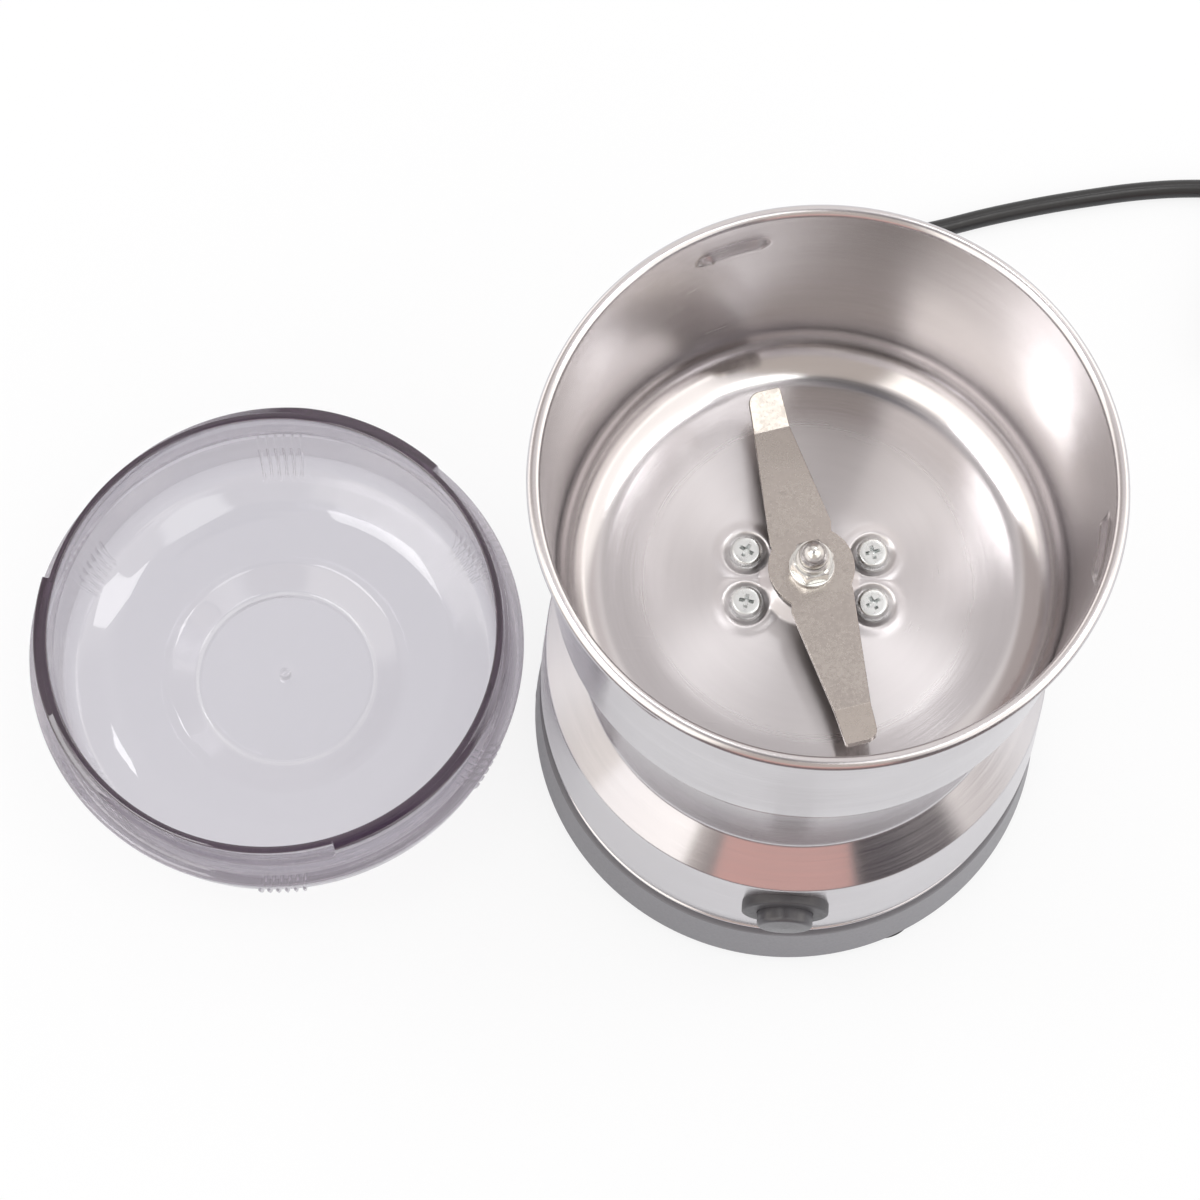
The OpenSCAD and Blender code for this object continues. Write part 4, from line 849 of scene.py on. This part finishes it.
def fixed_rounded(outline, counts):
    """Rounds each corner with a set number of steps, so that all sections have the same number of points."""
    out = []
    for i, (p, count) in enumerate(zip(outline, counts)):
        if count == 0:
            out.append((p[0], p[1]))
            continue
        out += corner(outline[i - 1][:2], p[:2], outline[i + 1][:2], p[2], count=count, most=0.45,
                      limit=0.99999)
    return out


def lid_section(cut_down, rib):
    """Section of the lid where its skirt is cut down by a depth and a rib stands out by some height."""
    top = LID_H - max(cut_down, NO_CUT)
    outline = [
        (0, 3.3, 0), (0.5, 4.3, 0.1), (1.0, 4.2, 0.2), (1.3, 2.2, 0.2), (18.5, 2.2, 3), (24, 4.6, 4),
        (36, 5.4, 20), (43.9, 8.2, 2.5), (SKIRT_IN_R, LEDGE_Z - 0.4, 2), (SKIRT_IN_R, LID_H, 0.5),
        (THIN_R, LID_H, 0.3), (THIN_R, top, 0.25), (SKIRT_R, top, 0.5), (SKIRT_R, LEDGE_Z, 0.3),
        (FLANGE_R, LEDGE_Z, 0.5), (FLANGE_R - 0.1, 21.0, 0.5), (49.2, 15.0, 0.3), (48.7, 14.6, 0.2),
        (48.6 + rib, 14.2, 0), (48.0 + rib, 10.5, 0), (47.2 + rib, 8.0, 0), (46.0 + rib * 0.9, 6.3, 0),
        (44.6 + rib * 0.5, 5.1 - rib * 0.4, 0), (43.0, 4.6, 0), (36, 3.2, 16), (26, 2.4, 4), (19.5, 0, 2),
        (18.3, 0, 0.2), (17.6, 0.35, 0.2), (0, 0.35, 0),
    ]
    counts = [0, 2, 3, 3, 8, 8, 8, 6, 6, 6, 4, 4, 5, 4, 5, 5, 3, 3, 0, 0, 0, 0, 0, 0, 8, 6, 6, 2, 2, 0]
    return fixed_rounded(outline, counts)


def fixed_spaced(line, model, longest):
    """Splits the stretches of a section as its model section is split, so that the counts stay the same."""
    out = []
    for (a, b), (ma, mb) in zip(zip(line, line[1:]), zip(model, model[1:])):
        count = max(1, math.ceil(math.dist(ma, mb) / longest))
        out += [(a[0] + (b[0] - a[0]) * k / count, a[1] + (b[1] - a[1]) * k / count) for k in range(count)]
    return out + [line[-1]]


def lid_mesh():
    """The lid's sections at every degree, and closer together at the ribs and at the steps of the ramps."""
    stops = {float(i): None for i in range(360)}
    for at in RIBS:
        for away, rib in RIB_SHAPE:
            stops[round((at + away) % 360, 3)] = rib
    ends = [(RAMP_START + RAMP_SWEEP + 120 * k) % 360 for k in range(3)]
    stops.update({end: None for end in ends})
    model = lid_section(RAMP_DEPTH / 2, 0.0)
    columns = []
    for direction in sorted(stops):
        rib = stops[direction]
        if rib is None:
            near = min(abs((direction - at + 180) % 360 - 180) for at in RIBS)
            rib = RIB_H * min(1.0, max(0.0, RIB_HALF - near) / 0.15)
        cuts = [(0.0, ramp_depth(direction))]
        if direction in ends:
            cuts = [(-0.25, ramp_depth(direction - 0.25)), (0.0, RAMP_DEPTH * 0.985), (0.12, 0.35),
                    (0.3, NO_CUT)]
        columns += [(direction + d, fixed_spaced(lid_section(cut, rib), model, 1.5)) for d, cut in cuts]
    return revolved("smoky_lid", None, closed=False, columns=columns, middle=(LID_X, LID_Y))


finished("smoky_lid", lid_mesh(), "smoky", "lid", ("lid",), sharp=50)

# ------------------------------------------------------------------ CAD nodes that keep their shape

LOOKS = {
    "base": ("bottom_cover", "cord_clamp"),
    "switch": ("switch_body",),
    "rubber": ("shaft_seal",),
    "zinc": ("cover_screws", "ring_screws", "switch_nut", "clamp_screws", "through_bolts"),
    "blade": ("blade_bush", "motor_shaft"),
    "cast": ("motor_bracket", "motor_end_bracket"),
    "iron": ("stator_core", "armature_core"),
    "coil_copper": ("field_coils",),
    "rotor_copper": ("armature_windings",),
    "commutator": ("commutator",),
    "brass": ("upper_bearing", "lower_bearing", "brush_holders"),
    "nickel": ("plug_pins",),
    "carbon": ("carbon_brushes",),
    "fan": ("cooling_fan",),
    "wire": ("lead_wires",),
}
look_of = {name: look for look, names in LOOKS.items() for name in names}
for name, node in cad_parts.items():
    node.data.materials.clear()
    node.data.materials.append(finish[look_of.get(name, "base")])

# ------------------------------------------------------------------ floor, light and world

floor_mesh = bpy.data.meshes.new("floor")
floor_mesh.from_pydata([(-6, -6, 0), (6, -6, 0), (6, 6, 0), (-6, 6, 0)], [], [(0, 1, 2, 3)])
floor = bpy.data.objects.new("floor", floor_mesh)
bpy.context.scene.collection.objects.link(floor)
made, n = material("floor_white")
light_path = n.add("LightPath", out=None)
glossy = light_path.outputs["Is Glossy Ray"]
seen_through = light_path.outputs["Is Transmission Ray"]
seen = n.math("MAXIMUM", light_path.outputs["Is Camera Ray"], seen_through)
# Painted reflection: in front of the object, towards the camera, glossy rays see the floor as a dark pinkish
# glow that stands in for the dark seen there in reflections; further back they see white glow mixed with the
# floor's lit shading.
edge = n.ramp(place(n)[2], -0.175, -0.125, 1.0, 0.0, smooth=True)
beyond = n.mix(edge, rgb(0.985, 1.0, 1.03), rgb(0.24, 0.19, 0.19))
paper = n.add("BsdfDiffuse", Color=rgb(0.9, 0.9, 0.9))
glow = n.add("Emission", Color=n.mix(glossy, rgb(1, 1, 1), beyond), Strength=1.0)
mirrored = n.math("MULTIPLY", glossy, n.ramp(edge, 0.0, 1.0, 0.4, 1.0))
share = n.math("ADD", mirrored, n.math("MULTIPLY", seen, n.ramp(seen_through, 0.0, 1.0, 0.82, 0.3)))
surface(n, n.add("MixShader", i0=share, i1=paper, i2=glow))
floor_mesh.materials.append(made)

MIDDLE = Vector((-0.05, 0.0, 0.06))  # of the object, in metres
LAMP_AWAY = 1.25


def towards(azimuth, elevation):
    """Unit vector in a direction given in degrees."""
    level, lift = polar(1.0, elevation)
    x, y = polar(1.0, azimuth)
    return level * x, level * y, lift


def softbox(name, azimuth, elevation, size, radiance):
    """Area lamp in a direction from the object, given by its brightness."""
    data = bpy.data.lights.new(name, "AREA")
    data.shape, data.size, data.size_y = "RECTANGLE", size[0], size[1]
    data.energy = radiance * math.pi * size[0] * size[1]
    made = bpy.data.objects.new(name, data)
    bpy.context.scene.collection.objects.link(made)
    made.location = MIDDLE + LAMP_AWAY * Vector(towards(azimuth, elevation))
    made.rotation_mode = "QUATERNION"
    made.rotation_quaternion = (MIDDLE - made.location).to_track_quat("-Z", "Y")
    made.visible_camera = False


softbox("softbox_left", 174, 70, (0.24, 0.34), 5.0)
softbox("softbox_right", 17, 69, (0.2, 0.3), 5.0)
softbox("softbox_back", 68, 54, (0.16, 0.14), 8.0)

world = bpy.data.worlds.new("studio")
bpy.context.scene.world = world
world.use_nodes = True
world.node_tree.nodes.clear()
w = Nodes(world.node_tree)
direction = w.add("TexCoord", out=0)
east, north, height = w.add("SeparateXYZ", out=None, Vector=direction).outputs
level = w.add("VectorMath", {"operation": "NORMALIZE"}, i0=w.vector(east, north, 0.0))


def cosine(angle):
    return math.cos(math.radians(angle))


def sine(angle):
    return math.sin(math.radians(angle))


def spot(sky, azimuth, elevation, inner, outer, colour):
    """Adds a round patch with a soft edge to the sky; all angles are in degrees."""
    middle = towards(azimuth, elevation)
    dot = w.add("VectorMath", {"operation": "DOT_PRODUCT"}, out=1, i0=direction, i1=middle)
    share = w.ramp(dot, cosine(outer), cosine(inner), smooth=True)
    return w.mix(share, sky, rgb(*colour))


def window(sky, azimuth, half, edge, low, high, soft, colour):
    """Adds a patch between two heights, half as wide on each side of a direction; angles are in degrees."""
    middle = (*polar(1.0, azimuth), 0.0)
    dot = w.add("VectorMath", {"operation": "DOT_PRODUCT"}, out=1, i0=level, i1=middle)
    across = w.ramp(dot, cosine(half + edge), cosine(half - edge), smooth=True)
    above = w.ramp(height, sine(low - soft), sine(low + soft), smooth=True)
    below = w.ramp(height, sine(high - soft), sine(high + soft), 1.0, 0.0, smooth=True)
    return w.mix(w.math("MULTIPLY", across, w.math("MULTIPLY", above, below)), sky, rgb(*colour))


studio = w.mix(w.ramp(height, 0.9, 0.97, smooth=True), rgb(1.0, 0.95, 0.92), rgb(0.62, 0.585, 0.58))
studio = window(studio, 142, 24, 8, 26, 66, 5, (0.57, 0.51, 0.485))
studio = window(studio, 42, 14, 6, 30, 62, 5, (0.8, 0.74, 0.72))
studio = window(studio, 207, 38, 6, 8, 72, 4, (1.95, 1.85, 1.7))
studio = window(studio, 150, 28, 6, 2, 26, 3, (1.9, 1.8, 1.7))
studio = window(studio, 4, 55, 7, 8, 37, 4, (2.25, 2.16, 2.02))
studio = window(studio, 350, 38, 8, 35, 73, 4, (1.5, 1.43, 1.35))
studio = window(studio, 274, 27, 5, 10, 79, 4, (0.66, 0.59, 0.53))
studio = spot(studio, 270, 85, 6, 9.5, (0.2, 0.19, 0.19))
studio = spot(studio, 100, 84, 2.5, 5, (0.12, 0.12, 0.14))
studio = spot(studio, 319, 74.5, 5.5, 8, (3.6, 3.6, 3.5))
studio = window(studio, 224, 17, 3, -10, 9, 2, (1.7, 1.68, 1.68))
studio = window(studio, 246, 5, 2, -10, 12, 5, (0.24, 0.2, 0.2))
studio = window(studio, 309, 17, 4, -10, 22, 4, (0.06, 0.055, 0.065))
studio = window(studio, 271, 21, 1.5, -10, 18, 5, (0.95, 0.54, 0.48))
room = window(rgb(0.84, 0.83, 0.83), 330, 60, 30, -20, 60, 15, (1.5, 1.5, 1.52))
light_path = w.add("LightPath", out=None)
lit = w.mix(light_path.outputs["Is Glossy Ray"], room, studio)
studio_light = w.add("Background", Color=lit, Strength=1.0)
white = w.add("Background", Color=rgb(1, 1, 1), Strength=1.0)
white_seen = w.math("MAXIMUM", light_path.outputs["Is Camera Ray"], light_path.outputs["Is Transmission Ray"])
out = world.node_tree.nodes.new("ShaderNodeOutputWorld")
world.node_tree.links.new(w.add("MixShader", i0=white_seen, i1=studio_light, i2=white), out.inputs["Surface"])

bpy.context.scene.view_settings.view_transform = "Standard"
